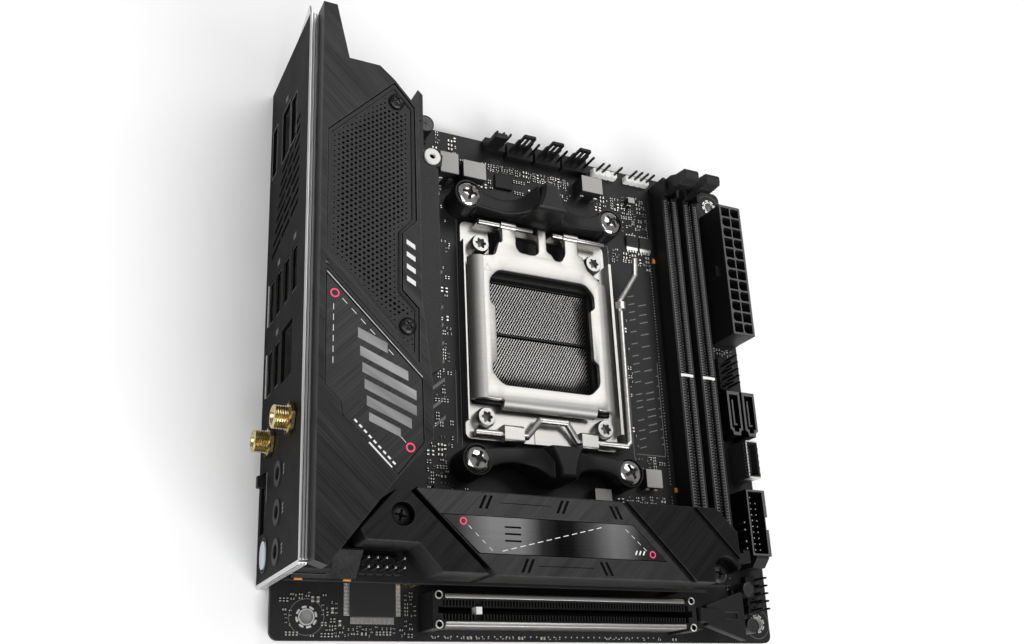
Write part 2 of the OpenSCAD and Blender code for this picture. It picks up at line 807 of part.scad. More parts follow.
module chips() {
    color("#242527") on_board() {
        block([20.6, 4.6], [37.4, 20.8], 1.4);
        block([73.2, 152.6], [79.8, 158], 1);
        block([125.2, 139], [130.2, 144.6], 1.2);
        block([130.8, 139], [135.8, 144.6], 1.2);
        block([48, 38.8], [54, 46], 1.1);
        for (y = [86, 96, 106]) block([46, y], [51, y + 5], 1);
    }
}

module capacitors() {
    color("#4a4a4c") on_board() {
        post([44.9, 166.6], 0, 8, 3.1);
        for (p = capacitor_at) {
            post(p, 0, 8, 2.5);
            post(p, 8, 8.2, 2.2);
        }
    }
}

module chipset() {
    color("#5a5b5e") on_board() {
        span([92, 18, 0], [112, 36, 1.4]);
        span([90, 16.5, 1.4], [120, 37, 9.6]);
    }
}

// ---------- drive stack ----------

module drive_heatsink() {
    color("#3a3b3c") on_board() {
        difference() {
            slab(drive_z, drive_top) difference() {
                polygon([[30.6, 36.4], [30.9, 37.1], [128.8, 37.2], [136, 30.2], [136, 19.4], [134.8, 14.4],
                    [53.4, 14.4]]);
                translate([126, 14]) square([8.8, 4.4]);
                translate(drive_end_at) circle(4.4);
            }
            // two slanted grooves across the top
            for (p = [[[95.4, 37.6], [118.6, 13.8]], [[119.6, 37.8], [137, 20]]]) {
                d = p[1] - p[0];
                translate([p[0][0], p[0][1], drive_top - 1]) rotate([0, 0, atan2(d[1], d[0])])
                    translate([-2, -0.7, 0]) cube([norm(d) + 4, 1.4, 2]);
            }
            slab(drive_top - 0.4, drive_top + 1)
                polygon([[37.4, 30.4], [98.2, 30.4], [109.2, 20], [48.2, 20]]);
        }
        slab(drive_z, drive_z + 8.5) difference() {
            translate([126, 14.4]) square([8.8, 4]);
            translate(drive_end_at) circle(1.55);
        }
    }
}

module drive_side_plate() {
    color("#3a3b3c") on_board() {
        slab(drive_z, drive_top) difference() {
            polygon([[24.6, 36], [29.2, 36], [51.6, 14.5], [38, 14.6], [31.4, 22], [22.9, 22.2],
                [16.9, 22.2], [15, 25.2]]);
            translate(drive_side_at) circle(3.2);
        }
        slab(drive_z, drive_z + drive_seat) difference() {
            translate(drive_side_at) circle(3.2);
            translate(drive_side_at) circle(1.55);
        }
    }
}

module trim_strip() {
    color("#8b8c8f") on_board() slab(drive_top - 0.4, drive_top)
        polygon([[37.9, 30.2], [98.1, 30.2], [108.7, 20.2], [48.7, 20.2]]);
}

module drive_screws() {
    color("#232425") on_board() {
        pan_screw(drive_side_at, drive_z + drive_seat, 2.9, 1.6, 1.5, stack_z + 0.5);
        pan_screw(drive_end_at, drive_z + 8.5, 2.9, 1.6, 1.5, stack_z + 0.5);
    }
}

module drive_connector() {
    color("#1c1c1d") on_board() {
        difference() {
            span([40, 15.4, stack_z], [46, 37, stack_z + 3.6]);
            span([43, 16.6, stack_z + 1], [47, 36, stack_z + 2.4]);
        }
        post([125.8, 26.2], stack_z, stack_z + 2, 2.2);
    }
}

// ---------- card slot ----------

// pin of the card latch, across the slot
module card_pin(w, r) {
    translate([card_pivot[0], card_y + w / 2, card_pivot[1]]) rotate([90, 0, 0]) cylinder(h = w, r = r);
}

module card_slot() {
    color("#1a1a1b") on_board() difference() {
        union() {
            // cheeks that carry the latch
            for (s = [-1, 1]) span([card_x1, card_y + s * 3.4 - 0.8, 0],
                [card_x1 + 4.6, card_y + s * 3.4 + 0.8, 8]);
            span([card_x0 + 1, card_y - card_mid_w / 2, 0], [card_x1 - 1, card_y + card_mid_w / 2, card_h]);
            for (x = [card_x0, card_x1 - 3.4]) span([x, card_y - card_w / 2, 0],
                [x + 3.4, card_y + card_w / 2, card_h]);
            for (s = [-1, 1], x = [44.6, 130.4])
                post([x, card_y + s * card_stud_y], card_h, card_h + 0.3, 1.3);
        }
        span([card_x0 + 1.5, card_y - 1, 1.6], [card_x1 - 1.5, card_y + 1, card_h + 1]);
        for (s = [-1, 1]) span([card_x0 + 3, card_y + s * 1.9 - 0.9, card_h - 1.6],
            [card_x1 - 3, card_y + s * 1.9 + 0.9, card_h + 1]);
        for (s = [-1, 1], x = [44.6, 130.4])
            post([x, card_y + s * card_stud_y], card_h - 2, card_h + 1, 0.8);
        card_pin(10.4, 1.04);
    }
}

module card_slot_shield() {
    color("#d4d4d1") on_board() for (s = [-1, 1]) {
        translate([0, card_y, 0]) mirror([0, s < 0 ? 1 : 0, 0]) {
            span([46.6, card_mid_w / 2, 0.4], [127.8, card_mid_w / 2 + 0.5, card_h + 0.5]);
            span([46.6, card_mid_w / 2 - 0.8, card_h], [127.8, card_mid_w / 2, card_h + 0.5]);
        }
    }
}

module card_slot_key() {
    color("#f2f2f0") on_board() span([56.4, card_y - 1, 7.6], [58.2, card_y + 1, card_h - 0.4]);
}

// swinging card latch: pin between the slot's cheeks, hook and broad finger pad
module card_latch() {
    color("#212122") on_board() {
        card_pin(8, 1);
        translate([0, card_y, 0]) {
            rotate([90, 0, 0]) translate([0, 0, -2.2]) linear_extrude(height = 4.4)
                polygon([[133, 2.6], [141, 2.6], [151, 5], [152, 8], [150, 9.6], [137, 10.6], [133.4, 12],
                    [133, 11]]);
            slab(7.4, 9.8) polygon([[137.6, -3], [151.6, -7.8], [152.2, -7], [152.2, 7], [151.6, 7.8],
                [137.6, 3]]);
        }
    }
}

// ---------- ports ----------

// metal port shell behind one opening, with its tongue
module port_shell(p, depth, tongue) {
    side_slab(panel_x + panel_t + 0.1, depth) difference() {
        round_rect(p[0] - [0.5, 0.5], p[1] + [0.5, 0.5], 0.6);
        round_rect(p[0], p[1], 0.4);
    }
    side_slab(depth - 1, depth) round_rect(p[0], p[1], 0.4);
    w = p[1][0] - p[0][0];
    h = p[1][1] - p[0][1];
    if (tongue > 0) span([panel_x + panel_t + 1.5, p[0][0] + w * 0.12, p[0][1] + h * 0.5 - tongue / 2],
        [depth - 1, p[1][0] - w * 0.12, p[0][1] + h * 0.5 + tongue / 2]);
}

module video_ports() {
    color("#8f9092") on_board() {
        port_shell(display_port, 15, 1.6);
        port_shell(hdmi_port, 12, 1.4);
        port_shell(wide_port, 12, 1.4);
    }
}

module usb_lan_ports() {
    color("#a9aaab") on_board() {
        for (p = usb_ports) port_shell(p, 15, 1.9);
        port_shell(lan_port, 18, 0);
    }
}

module antenna_jacks() {
    color("#c9a24a") on_board() for (p = antenna_at) translate([0, p[0], p[1]]) rotate([0, 90, 0]) {
        difference() {
            union() {
                translate([0, 0, -8.4]) cylinder(h = 12, r = 3.1);
                translate([0, 0, -4.3]) cylinder(h = 1.1, r = 4.4, $fn = 6);
            }
            translate([0, 0, -9]) cylinder(h = 5, r = 2.2);
        }
        translate([0, 0, -6.4]) cylinder(h = 3, r = 0.65);
        translate([-4, -4, panel_x + panel_t + 0.1]) cube([8, 8, 6]);
    }
}

module audio_jacks() {
    color("#19191a") on_board() for (p = audio_at) {
        translate([0, p[0], p[1]]) difference() {
            union() {
                translate([-1.9, -4.6, -5.6]) cube([12.4, 9.2, 10.4]);
                rotate([0, 90, 0]) translate([0, 0, panel_x + 0.1]) cylinder(h = 3, r = 3);
            }
            translate([-5, 0, 0]) rotate([0, 90, 0]) cylinder(h = 14, r = 1.8);
        }
    }
}

// housings of the slide switch and of the push switch behind the button
module rear_switches() {
    color("#1b1b1c") on_board() {
        difference() {
            span([-2, 28.4, 0], [3, 45.2, 3.8]);
            span([-3, 36.2, 0.8], [0.6, 44.6, 3.4]);
            span([-3, 30, 1], [-1.4, 34.6, 2.6]);
        }
        span([1.2, 18.4, 0], [7, 25.4, 8.2]);
    }
}

module mode_switch_knob() {
    color("#101011") on_board() span([-5.2, 41, 1.1], [0.3, 44.2, 3.1]);
}

module flash_button() {
    color("#c3c9d0") on_board() {
        side_slab(-3.6, -1.6) oval(button_at, 7.6, 6);
        side_slab(-1.6, 0) oval(button_at, 8.8, 7.2);
    }
}

pcb();
daughter_board();
board_spacers();
board_connector();
backplate();
port_panel();
port_panel_rim();
port_cover();
fan_grille();
grille_screws();
accent_plate();
power_heatsink();
heatsink_nut();
fan_frame();
fan_rotor();
socket_housing();
contact_field();
socket_frame();
load_plate();
load_lever();
socket_screws();
cooler_bracket_top();
cooler_bracket_bottom();
bracket_screws();
dimm_slot_a();
dimm_slot_b();
dimm_contacts();
dimm_latch_a();
dimm_latch_b();
main_power_header();
cpu_power_header();
fan_headers();
light_headers();
chokes();
chips();
capacitors();
panel_header();
sata_port_a();
sata_port_b();
usb_c_header();
usb3_header();
usb2_header();
audio_header();
drive_heatsink();
drive_side_plate();
trim_strip();
drive_screws();
drive_connector();
chipset();
card_slot();
card_slot_shield();
card_slot_key();
card_latch();
video_ports();
usb_lan_ports();
antenna_jacks();
audio_jacks();
rear_switches();
mode_switch_knob();
flash_button();
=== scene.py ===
import json
import random
from math import atan2, cos, hypot, pi, radians, sin, sqrt, tau

import bmesh
import bpy
from mathutils import Matrix, Vector
from mathutils.geometry import delaunay_2d_cdt


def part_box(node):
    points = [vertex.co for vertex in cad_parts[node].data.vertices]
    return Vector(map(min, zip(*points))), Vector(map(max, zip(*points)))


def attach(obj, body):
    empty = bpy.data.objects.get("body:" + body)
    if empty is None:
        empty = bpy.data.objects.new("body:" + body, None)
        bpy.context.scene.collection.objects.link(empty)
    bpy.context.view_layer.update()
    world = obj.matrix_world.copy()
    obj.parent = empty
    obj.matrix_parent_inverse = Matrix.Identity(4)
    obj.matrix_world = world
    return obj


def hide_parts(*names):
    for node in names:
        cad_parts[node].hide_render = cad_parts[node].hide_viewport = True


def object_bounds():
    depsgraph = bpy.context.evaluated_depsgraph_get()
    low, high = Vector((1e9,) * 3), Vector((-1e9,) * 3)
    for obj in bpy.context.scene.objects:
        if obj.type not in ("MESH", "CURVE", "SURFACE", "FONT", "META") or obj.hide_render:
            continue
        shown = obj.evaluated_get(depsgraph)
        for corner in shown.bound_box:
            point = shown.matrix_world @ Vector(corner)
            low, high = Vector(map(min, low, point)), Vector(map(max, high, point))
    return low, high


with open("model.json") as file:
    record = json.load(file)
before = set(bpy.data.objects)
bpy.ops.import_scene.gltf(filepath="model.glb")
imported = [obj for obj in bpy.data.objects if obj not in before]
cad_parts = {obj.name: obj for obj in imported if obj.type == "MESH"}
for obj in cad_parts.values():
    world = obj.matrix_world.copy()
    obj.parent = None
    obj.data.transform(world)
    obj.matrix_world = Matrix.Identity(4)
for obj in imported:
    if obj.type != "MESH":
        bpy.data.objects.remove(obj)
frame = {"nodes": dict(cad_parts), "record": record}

CAD_LOW, CAD_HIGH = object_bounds()
NODES = frame["nodes"]
PCB_LOW, PCB_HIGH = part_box("pcb")
MM = 0.001


def at(x, y, z):
    """A point in mm from the board's port and card-slot corner, on its top face, as metres in the frame."""
    return Vector((PCB_LOW.x + x * MM, PCB_LOW.y + y * MM, PCB_HIGH.z + z * MM))


# ---------- materials ----------

def grey(v):
    """A plain number as a neutral colour; a colour as it is."""
    return (v, v, v) if isinstance(v, float) else v


class Shade:
    """Adds and links the shader nodes of one new material."""

    def __init__(self, name):
        self.m = bpy.data.materials.new(name)
        self.m.use_nodes = True
        self.t = self.m.node_tree
        self.bsdf = self.t.nodes["Principled BSDF"]
        self.coord = self.t.nodes.new("ShaderNodeTexCoord").outputs["Object"]

    def add(self, kind, **values):
        n = self.t.nodes.new("ShaderNode" + kind)
        for k, v in values.items():
            setattr(n, k, v)
        return n

    def link(self, a, b):
        self.t.links.new(a, b)
        return self

    def mapped(self, scale, turn=0.0):
        """Object coordinates turned about Z, then stretched by scale (cycles per metre on each axis)."""
        r = self.add("Mapping")
        r.inputs["Rotation"].default_value = (0, 0, radians(turn))
        self.link(self.coord, r.inputs["Vector"])
        s = self.add("Mapping")
        s.inputs["Scale"].default_value = scale
        self.link(r.outputs[0], s.inputs["Vector"])
        return s.outputs[0]

    def noise(self, scale, turn=0.0, detail=2.0, rough=0.5):
        n = self.add("TexNoise")
        n.inputs["Scale"].default_value = 1.0
        n.inputs["Detail"].default_value = detail
        n.inputs["Roughness"].default_value = rough
        if not isinstance(scale, tuple):
            scale = (scale,) * 3
        self.link(self.mapped(scale, turn), n.inputs["Vector"])
        return n.outputs["Fac"]

    def ramp(self, fac, stops):
        r = self.add("ValToRGB")
        e = r.color_ramp.elements
        while len(e) < len(stops):
            e.new(0.5)
        for el, (pos, val) in zip(e, stops):
            el.position = pos
            el.color = (*grey(val), 1)
        self.link(fac, r.inputs[0])
        return r.outputs[0]

    def mix(self, fac, a, b):
        n = self.add("Mix", data_type="RGBA")
        for sock, v in ((n.inputs[0], fac), (n.inputs[6], grey(a)), (n.inputs[7], grey(b))):
            if isinstance(v, (int, float)):
                sock.default_value = v
            elif isinstance(v, tuple):
                sock.default_value = (*v, 1)
            else:
                self.link(v, sock)
        return n.outputs[2]

    def math(self, op, a, b=0.0, clamp=False):
        n = self.add("Math", operation=op, use_clamp=clamp)
        for sock, v in ((n.inputs[0], a), (n.inputs[1], b)):
            if isinstance(v, (int, float)):
                sock.default_value = v
            else:
                self.link(v, sock)
        return n.outputs[0]

    def times(self, a, b):
        return self.math("MULTIPLY", a, b)

    def plus(self, a, b):
        return self.math("ADD", a, b)

    def edge(self, radius):
        """1 along sharp edges and 0 on flats."""
        b = self.add("Bevel", samples=4)
        b.inputs["Radius"].default_value = radius
        g = self.add("NewGeometry")
        d = self.add("VectorMath", operation="DOT_PRODUCT")
        self.link(b.outputs[0], d.inputs[0]).link(g.outputs["Normal"], d.inputs[1])
        return self.math("MULTIPLY", self.math("SUBTRACT", 1.0, d.outputs["Value"]), 4.0, True)

    def bump(self, fac, height, strength=1.0):
        n = self.add("Bump")
        n.inputs["Strength"].default_value = strength
        n.inputs["Distance"].default_value = height
        self.link(fac, n.inputs["Height"])
        self.link(n.outputs[0], self.bsdf.inputs["Normal"])


def metal(name, dark, light, rough, grain=(0.0, 0.0), turn=0.0, spread=0.08, bump=0.00001, wear_and_sheen=0.0,
          wear_and_sheen_colour=None, speck=3000.0):
    """Metal; grain is (cycles across, cycles along) per metre, or zeros for a bead-blasted face."""
    s = Shade(name)
    if grain[0]:
        n = s.noise((grain[1], grain[0], grain[0]), turn, 3.0, 0.6)
        broad = s.noise((grain[1] * 0.6, grain[0] * 0.08, grain[0] * 0.08), turn, 2.0)
        n = s.plus(s.times(n, 0.65), s.times(broad, 0.35))
    else:
        n = s.noise(speck, 0, 2.0, 0.7)
        broad = s.noise(90.0, 0, 2.0)
    colour = s.mix(s.ramp(n, [(0.36, 0.0), (0.64, 1.0)]), dark, light)
    # lighter colour along sharp edges, broken up by noise: partly edge wear, partly painted highlight
    if wear_and_sheen:
        e = s.edge(0.0004)
        chip = s.times(e, s.ramp(s.noise(1500.0, 0, 3.0), [(0.3, 0.4), (0.6, 1.0)]))
        colour = s.mix(s.times(chip, wear_and_sheen), colour, wear_and_sheen_colour or light)
    s.link(colour, s.bsdf.inputs["Base Color"])
    s.bsdf.inputs["Metallic"].default_value = 1.0
    smudge = s.noise(60.0, 0, 3.0)
    r = s.plus(s.times(n, spread), s.times(smudge, spread))
    s.link(s.plus(r, rough - spread), s.bsdf.inputs["Roughness"])
    s.bump(n, bump)
    return s.m


def plastic(name, dark, light, rough, grain=2500.0, bump=0.000012, wear_and_sheen=0.25, wear_and_sheen_colour=0.16, spec=0.25,
            metallic=0.0):
    """Moulded plastic or paint: fine grain, slow colour drift, edges lightened: partly wear, partly painted
    highlight.
    """
    s = Shade(name)
    n = s.noise(grain, 0, 3.0, 0.6)
    drift = s.noise(70.0, 0, 2.0)
    colour = s.mix(s.times(s.plus(n, drift), 0.5), dark, light)
    # lighter colour along sharp edges: partly wear, partly painted highlight
    if wear_and_sheen:
        colour = s.mix(s.times(s.edge(0.00025), wear_and_sheen), colour, wear_and_sheen_colour)
    s.link(colour, s.bsdf.inputs["Base Color"])
    s.bsdf.inputs["Metallic"].default_value = metallic
    s.bsdf.inputs["Specular IOR Level"].default_value = spec
    r = s.plus(s.times(n, 0.12), s.times(drift, 0.14))
    s.link(s.plus(r, rough - 0.13), s.bsdf.inputs["Roughness"])
    s.bump(n, bump)
    return s.m


M_COVER = metal("brushed_dark", 0.017, 0.039, 0.42, (3500.0, 40.0), 45, 0.07, 0.000007, 0.5, 0.13)
M_BLAST = metal("blasted_dark", (0.026, 0.026, 0.0265), (0.042, 0.042, 0.0425), 0.48, bump=0.00001, wear_and_sheen=0.4,
                wear_and_sheen_colour=(0.12, 0.12, 0.122))
M_DRIVE = metal("brushed_drive_cover", (0.012, 0.012, 0.0122), (0.027, 0.027, 0.0272), 0.44, (3500.0, 40.0),
                -45, 0.06, 0.000008, 0.5, 0.11)
# lighter copy of the drive metal for the left top face: painted highlight
M_DRIVE_PAINTED_HIGHLIGHT = metal("brushed_drive_painted_highlight", (0.033, 0.033, 0.0332), (0.06, 0.06, 0.0602), 0.42, (3500.0, 40.0),
                    -45, 0.06, 0.000008, 0.5, 0.14)
M_OXIDE = plastic("oxide_screw_head", (0.012, 0.012, 0.0125), (0.024, 0.024, 0.0245), 0.38, 2600.0,
                  metallic=0.4)
M_HEAD = metal("zinc_screw_head", (0.34, 0.34, 0.33), (0.46, 0.455, 0.44), 0.34, bump=0.000003, speck=1200.0)
# darker metal for the inside of the driver recess: painted shade
M_RECESS_PAINTED_SHADE = metal("screw_recess_painted_shade", (0.08, 0.08, 0.078), (0.15, 0.15, 0.145), 0.45, bump=0.000003, speck=1500.0)
M_WIRE = metal("lever_wire", (0.5, 0.49, 0.465), (0.62, 0.61, 0.585), 0.3, bump=0.0000015, speck=700.0)
M_PANEL = plastic("panel_paint", (0.0026, 0.0026, 0.0027), (0.0048, 0.0048, 0.005), 0.6, 3200.0, wear_and_sheen=0.3,
                  wear_and_sheen_colour=0.03, spec=0.07)
M_RIM = metal("ribbed_trim", (0.6, 0.6, 0.605), (0.7, 0.7, 0.705), 0.34, (3000.0, 200.0), 90, 0.06, 0.000002)
M_BLACK = plastic("black_moulding", 0.004, 0.008, 0.5, wear_and_sheen_colour=0.06)
# the bracket's lighter edges are painted highlight along its rims, with some wear
M_BRACKET = plastic("bracket_moulding", 0.0045, 0.0085, 0.42, 2200.0, wear_and_sheen=0.6, wear_and_sheen_colour=0.12, spec=0.22)
M_SATIN = metal("satin_steel", (0.36, 0.35, 0.335), (0.42, 0.41, 0.39), 0.3, (3600.0, 60.0), 0, 0.06,
                0.0000015)
# rougher and lighter copy of the satin steel for the rolled edges; the lighter colour is painted highlight
M_ROLL_PAINTED_HIGHLIGHT = metal("rolled_steel_painted_highlight", (0.4, 0.39, 0.375), (0.46, 0.45, 0.43), 0.5, (3600.0, 60.0), 0, 0.06,
               0.0000015)
M_CHROME = metal("polished_steel", (0.45, 0.44, 0.42), (0.66, 0.65, 0.63), 0.14, bump=0.000002, speck=400.0)
M_GOLD = metal("gold_plate", (0.5, 0.4, 0.2), (0.72, 0.6, 0.34), 0.22, bump=0.000004, speck=900.0)
M_WHITE = plastic("white_moulding", (0.66, 0.66, 0.63), (0.8, 0.8, 0.78), 0.5, wear_and_sheen=0.0)
M_CHOKE = plastic("pressed_powder", (0.28, 0.27, 0.26), (0.4, 0.39, 0.375), 0.62, 2600.0, 0.00002, wear_and_sheen=0.3,
                  wear_and_sheen_colour=0.6)
M_CHIP = plastic("chip_moulding", (0.012, 0.012, 0.0125), (0.018, 0.018, 0.0185), 0.55, 4000.0, wear_and_sheen_colour=0.08)
M_CONTACT = metal("contact_strip", (0.16, 0.16, 0.155), (0.3, 0.29, 0.28), 0.35, bump=0.000003, speck=2000.0)
M_SCREW = metal("black_oxide", (0.02, 0.02, 0.021), 0.05, 0.35, bump=0.000004, wear_and_sheen=0.5, wear_and_sheen_colour=0.3)
M_ACCENT = metal("accent_face", (0.02, 0.02, 0.0205), (0.04, 0.04, 0.041), 0.36, (3400.0, 40.0), -45, 0.08,
                 0.000006)
M_TIN = metal("tinned_pad", (0.6, 0.59, 0.57), (0.85, 0.84, 0.82), 0.4, bump=0.000003, speck=2500.0)
M_CAN = metal("capacitor_can", (0.05, 0.05, 0.051), (0.08, 0.08, 0.081), 0.42, bump=0.000004, speck=2500.0)
M_BUTTON = plastic("button_grey", (0.5, 0.54, 0.6), (0.62, 0.66, 0.72), 0.35, wear_and_sheen=0.0)
M_BOARD = plastic("solder_mask", (0.007, 0.0072, 0.0075), (0.013, 0.0133, 0.0135), 0.45, 700.0, 0.00001,
                  wear_and_sheen=0.0)
M_DARKSTEEL = plastic("dark_steel", (0.03, 0.03, 0.032), (0.05, 0.05, 0.053), 0.4, 1800.0, metallic=0.6)
M_PRINT = plastic("white_print", 0.6, 0.75, 0.6, wear_and_sheen=0.0)
M_INK = plastic("grey_print", (0.13, 0.13, 0.135), (0.19, 0.19, 0.195), 0.6, wear_and_sheen=0.0)
M_PINK = plastic("pink_print", (0.75, 0.05, 0.14), (0.85, 0.09, 0.2), 0.5, wear_and_sheen=0.0)
M_EDGE = metal("cut_edge", 0.2, 0.32, 0.32, (4000.0, 30.0), -45, 0.06, 0.000003)
M_BROWN = plastic("ceramic_body", (0.09, 0.07, 0.05), (0.16, 0.13, 0.1), 0.5, wear_and_sheen=0.0)
M_AMBER = plastic("amber_lens", (0.55, 0.2, 0.04), (0.7, 0.28, 0.06), 0.3, wear_and_sheen=0.0)
M_PAD = plastic("latch_moulding", 0.009, 0.016, 0.5, wear_and_sheen=0.5, wear_and_sheen_colour=0.1)
# top faces of the header shells, a lighter grey than their black sides: painted highlight
M_HEADER_TOP_PAINTED_HIGHLIGHT = plastic("header_rim_painted_highlight", (0.05, 0.05, 0.051), 0.1, 0.5, wear_and_sheen=0.5, wear_and_sheen_colour=0.3)
M_BAR = metal("slot_bar", (0.36, 0.36, 0.345), (0.6, 0.59, 0.57), 0.32, (3000.0, 25.0), 0, 0.08, 0.000003)
M_BLADE = metal("graphic_face", 0.05, 0.27, 0.32, (130.0, 8.0), 35, 0.05, 0.000002)
M_LADDER = plastic("slot_ladder", 0.085, (0.125, 0.125, 0.123), 0.45, wear_and_sheen=0.0)
M_VOID = plastic("shadowed_recess", 0.0008, 0.0016, 0.75, wear_and_sheen=0.0, spec=0.05)
M_TRACE = plastic("light_grey_print", 0.2, 0.32, 0.6, wear_and_sheen=0.0)


def painted_reflection_foil(name, x0, x1, stops):
    """Brushed foil whose tone runs along X between two places on the board: its light and dark bands are
    painted reflection.
    """
    s = Shade(name)
    span = s.add("MapRange")
    parts = s.add("SeparateXYZ")
    s.link(s.coord, parts.inputs[0]).link(parts.outputs[0], span.inputs["Value"])
    span.inputs["From Min"].default_value = at(x0, 0, 0).x
    span.inputs["From Max"].default_value = at(x1, 0, 0).x
    grain = s.noise((30.0, 2600.0, 2600.0), 0, 3.0)
    tone = s.ramp(span.outputs[0], stops)
    s.link(s.mix(s.times(grain, 0.16), tone, 0.05), s.bsdf.inputs["Base Color"])
    s.bsdf.inputs["Metallic"].default_value = 1.0
    s.link(s.plus(s.times(grain, 0.1), 0.24), s.bsdf.inputs["Roughness"])
    s.bump(grain, 0.000002)
    return s.m


# light and dark bands along the strip: painted reflection
M_FOIL_PAINTED_REFLECTION = painted_reflection_foil("strip_foil_painted_reflection", 38, 108.7,
                        [(0.06, 0.03), (0.2, 0.17), (0.33, 0.17), (0.42, 0.02), (0.5, 0.001), (0.56, 0.004),
                         (0.65, 0.05), (0.75, 0.19), (0.81, 0.17), (0.88, 0.04), (0.94, 0.03)])

FINISH = {
    "board_black": M_BOARD, "plated_brass": M_GOLD, "black_plastic": M_BLACK, "dark_steel": M_DARKSTEEL,
    "panel_black": M_PANEL, "bright_trim": M_RIM, "cover_metal": M_COVER, "black_screw": M_SCREW,
    "accent_metal": M_ACCENT, "heatsink_metal": M_BLAST, "white_plastic": M_WHITE, "contact_metal": M_CONTACT,
    "satin_steel": M_SATIN, "bright_steel": M_CHROME, "choke_grey": M_CHOKE, "chip_black": M_CHIP,
    "can_grey": M_CAN, "gold_plate": M_GOLD, "button_grey": M_BUTTON,
}
NODE_FINISH = {"cooler_bracket_top": M_BRACKET, "cooler_bracket_bottom": M_BRACKET, "fan_grille": M_BLAST,
               "drive_heatsink": M_DRIVE, "drive_side_plate": M_DRIVE, "load_lever": M_WIRE}
BEVEL = {
    "port_cover": 0.25, "power_heatsink": 0.35, "drive_heatsink": 0.3, "drive_side_plate": 0.3,
    "port_panel_rim": 0.08, "cooler_bracket_top": 0.5, "cooler_bracket_bottom": 0.5, "socket_frame": 0.15,
    "load_plate": 0.3, "main_power_header": 0.12, "dimm_slot_a": 0.12, "dimm_slot_b": 0.12,
    "dimm_latch_a": 0.35, "dimm_latch_b": 0.35, "chokes": 0.25, "card_slot": 0.12, "card_latch": 0.3,
    "card_slot_shield": 0.1, "usb3_header": 0.12, "sata_port_a": 0.12, "sata_port_b": 0.12,
    "usb_c_header": 0.12, "chips": 0.1, "daughter_board": 0.1, "pcb": 0.1, "port_panel": 0.08,
    "accent_plate": 0.2, "cpu_power_header": 0.12, "backplate": 0.2, "socket_housing": 0.2,
}
BEVEL_ANGLE = 38
WELD = 0.000002


def round_edges(ob, width):
    """Bevel the object's sharp edges, width in mm."""
    b = ob.modifiers.new("edges", "BEVEL")
    b.width, b.segments, b.limit_method = width * MM, 2, "ANGLE"
    b.angle_limit = radians(BEVEL_ANGLE)


for row in frame["record"]["subparts"]:
    name = row["node"]
    ob = NODES[name]
    for s in ob.material_slots:
        s.material = NODE_FINISH.get(name, FINISH[row["material_slot"]])
    if name in BEVEL:
        w = ob.modifiers.new("weld", "WELD")
        w.merge_threshold = WELD
        round_edges(ob, BEVEL[name])

# ---------- mesh building ----------

def offset(poly, d):
    """The outline moved outward by d (inward if d is negative), with mitred corners."""
    area = sum(a[0] * b[1] - b[0] * a[1] for a, b in zip(poly, poly[1:] + poly[:1]))
    sign = 1 if area > 0 else -1
    out = []
    for i, p in enumerate(poly):
        a = Vector(p) - Vector(poly[i - 1])
        b = Vector(poly[(i + 1) % len(poly)]) - Vector(p)
        na = Vector((a.y, -a.x)).normalized() * sign
        nb = Vector((b.y, -b.x)).normalized() * sign
        k = max(0.3, 1 + na.dot(nb))
        q = Vector(p) + (na + nb) / k * d
        out.append((q.x, q.y))
    return out


def ring(x, y, r, n=24, start=0.0):
    turns = [start + tau * i / n for i in range(n)]
    return [(x + r * cos(t), y + r * sin(t)) for t in turns]


def arc(x, y, r, a0, a1, n=12):
    """Points of an arc from a0 to a1 degrees."""
    turns = [radians(a0 + (a1 - a0) * i / n) for i in range(n + 1)]
    return [(x + r * cos(t), y + r * sin(t)) for t in turns]


def rounded(x0, y0, x1, y1, r, n=4):
    """Rectangle with round corners, as a closed outline."""
    corners = ((x1 - r, y0 + r, -90), (x1 - r, y1 - r, 0), (x0 + r, y1 - r, 90), (x0 + r, y0 + r, 180))
    return [p for cx, cy, a in corners for p in arc(cx, cy, r, a, a + 90, n)]


def soften(poly, r, n=3):
    """The same outline with each corner cut to a small curve."""
    out = []
    for i, p in enumerate(poly):
        p, a, b = Vector(p), Vector(poly[i - 1]), Vector(poly[(i + 1) % len(poly)])
        k = min(r, (a - p).length * 0.45, (b - p).length * 0.45)
        s, e = p + (a - p).normalized() * k, p + (b - p).normalized() * k
        for j in range(n + 1):
            t = j / n
            q = s * (1 - t) ** 2 + p * 2 * t * (1 - t) + e * t ** 2
            out.append((q.x, q.y))
    return out


def skin(rows, n):
    """Quads of the closed skin through rows of n points each."""
    return [(j * n + i, j * n + (i + 1) % n, (j + 1) * n + (i + 1) % n, (j + 1) * n + i)
            for j in range(rows - 1) for i in range(n)]


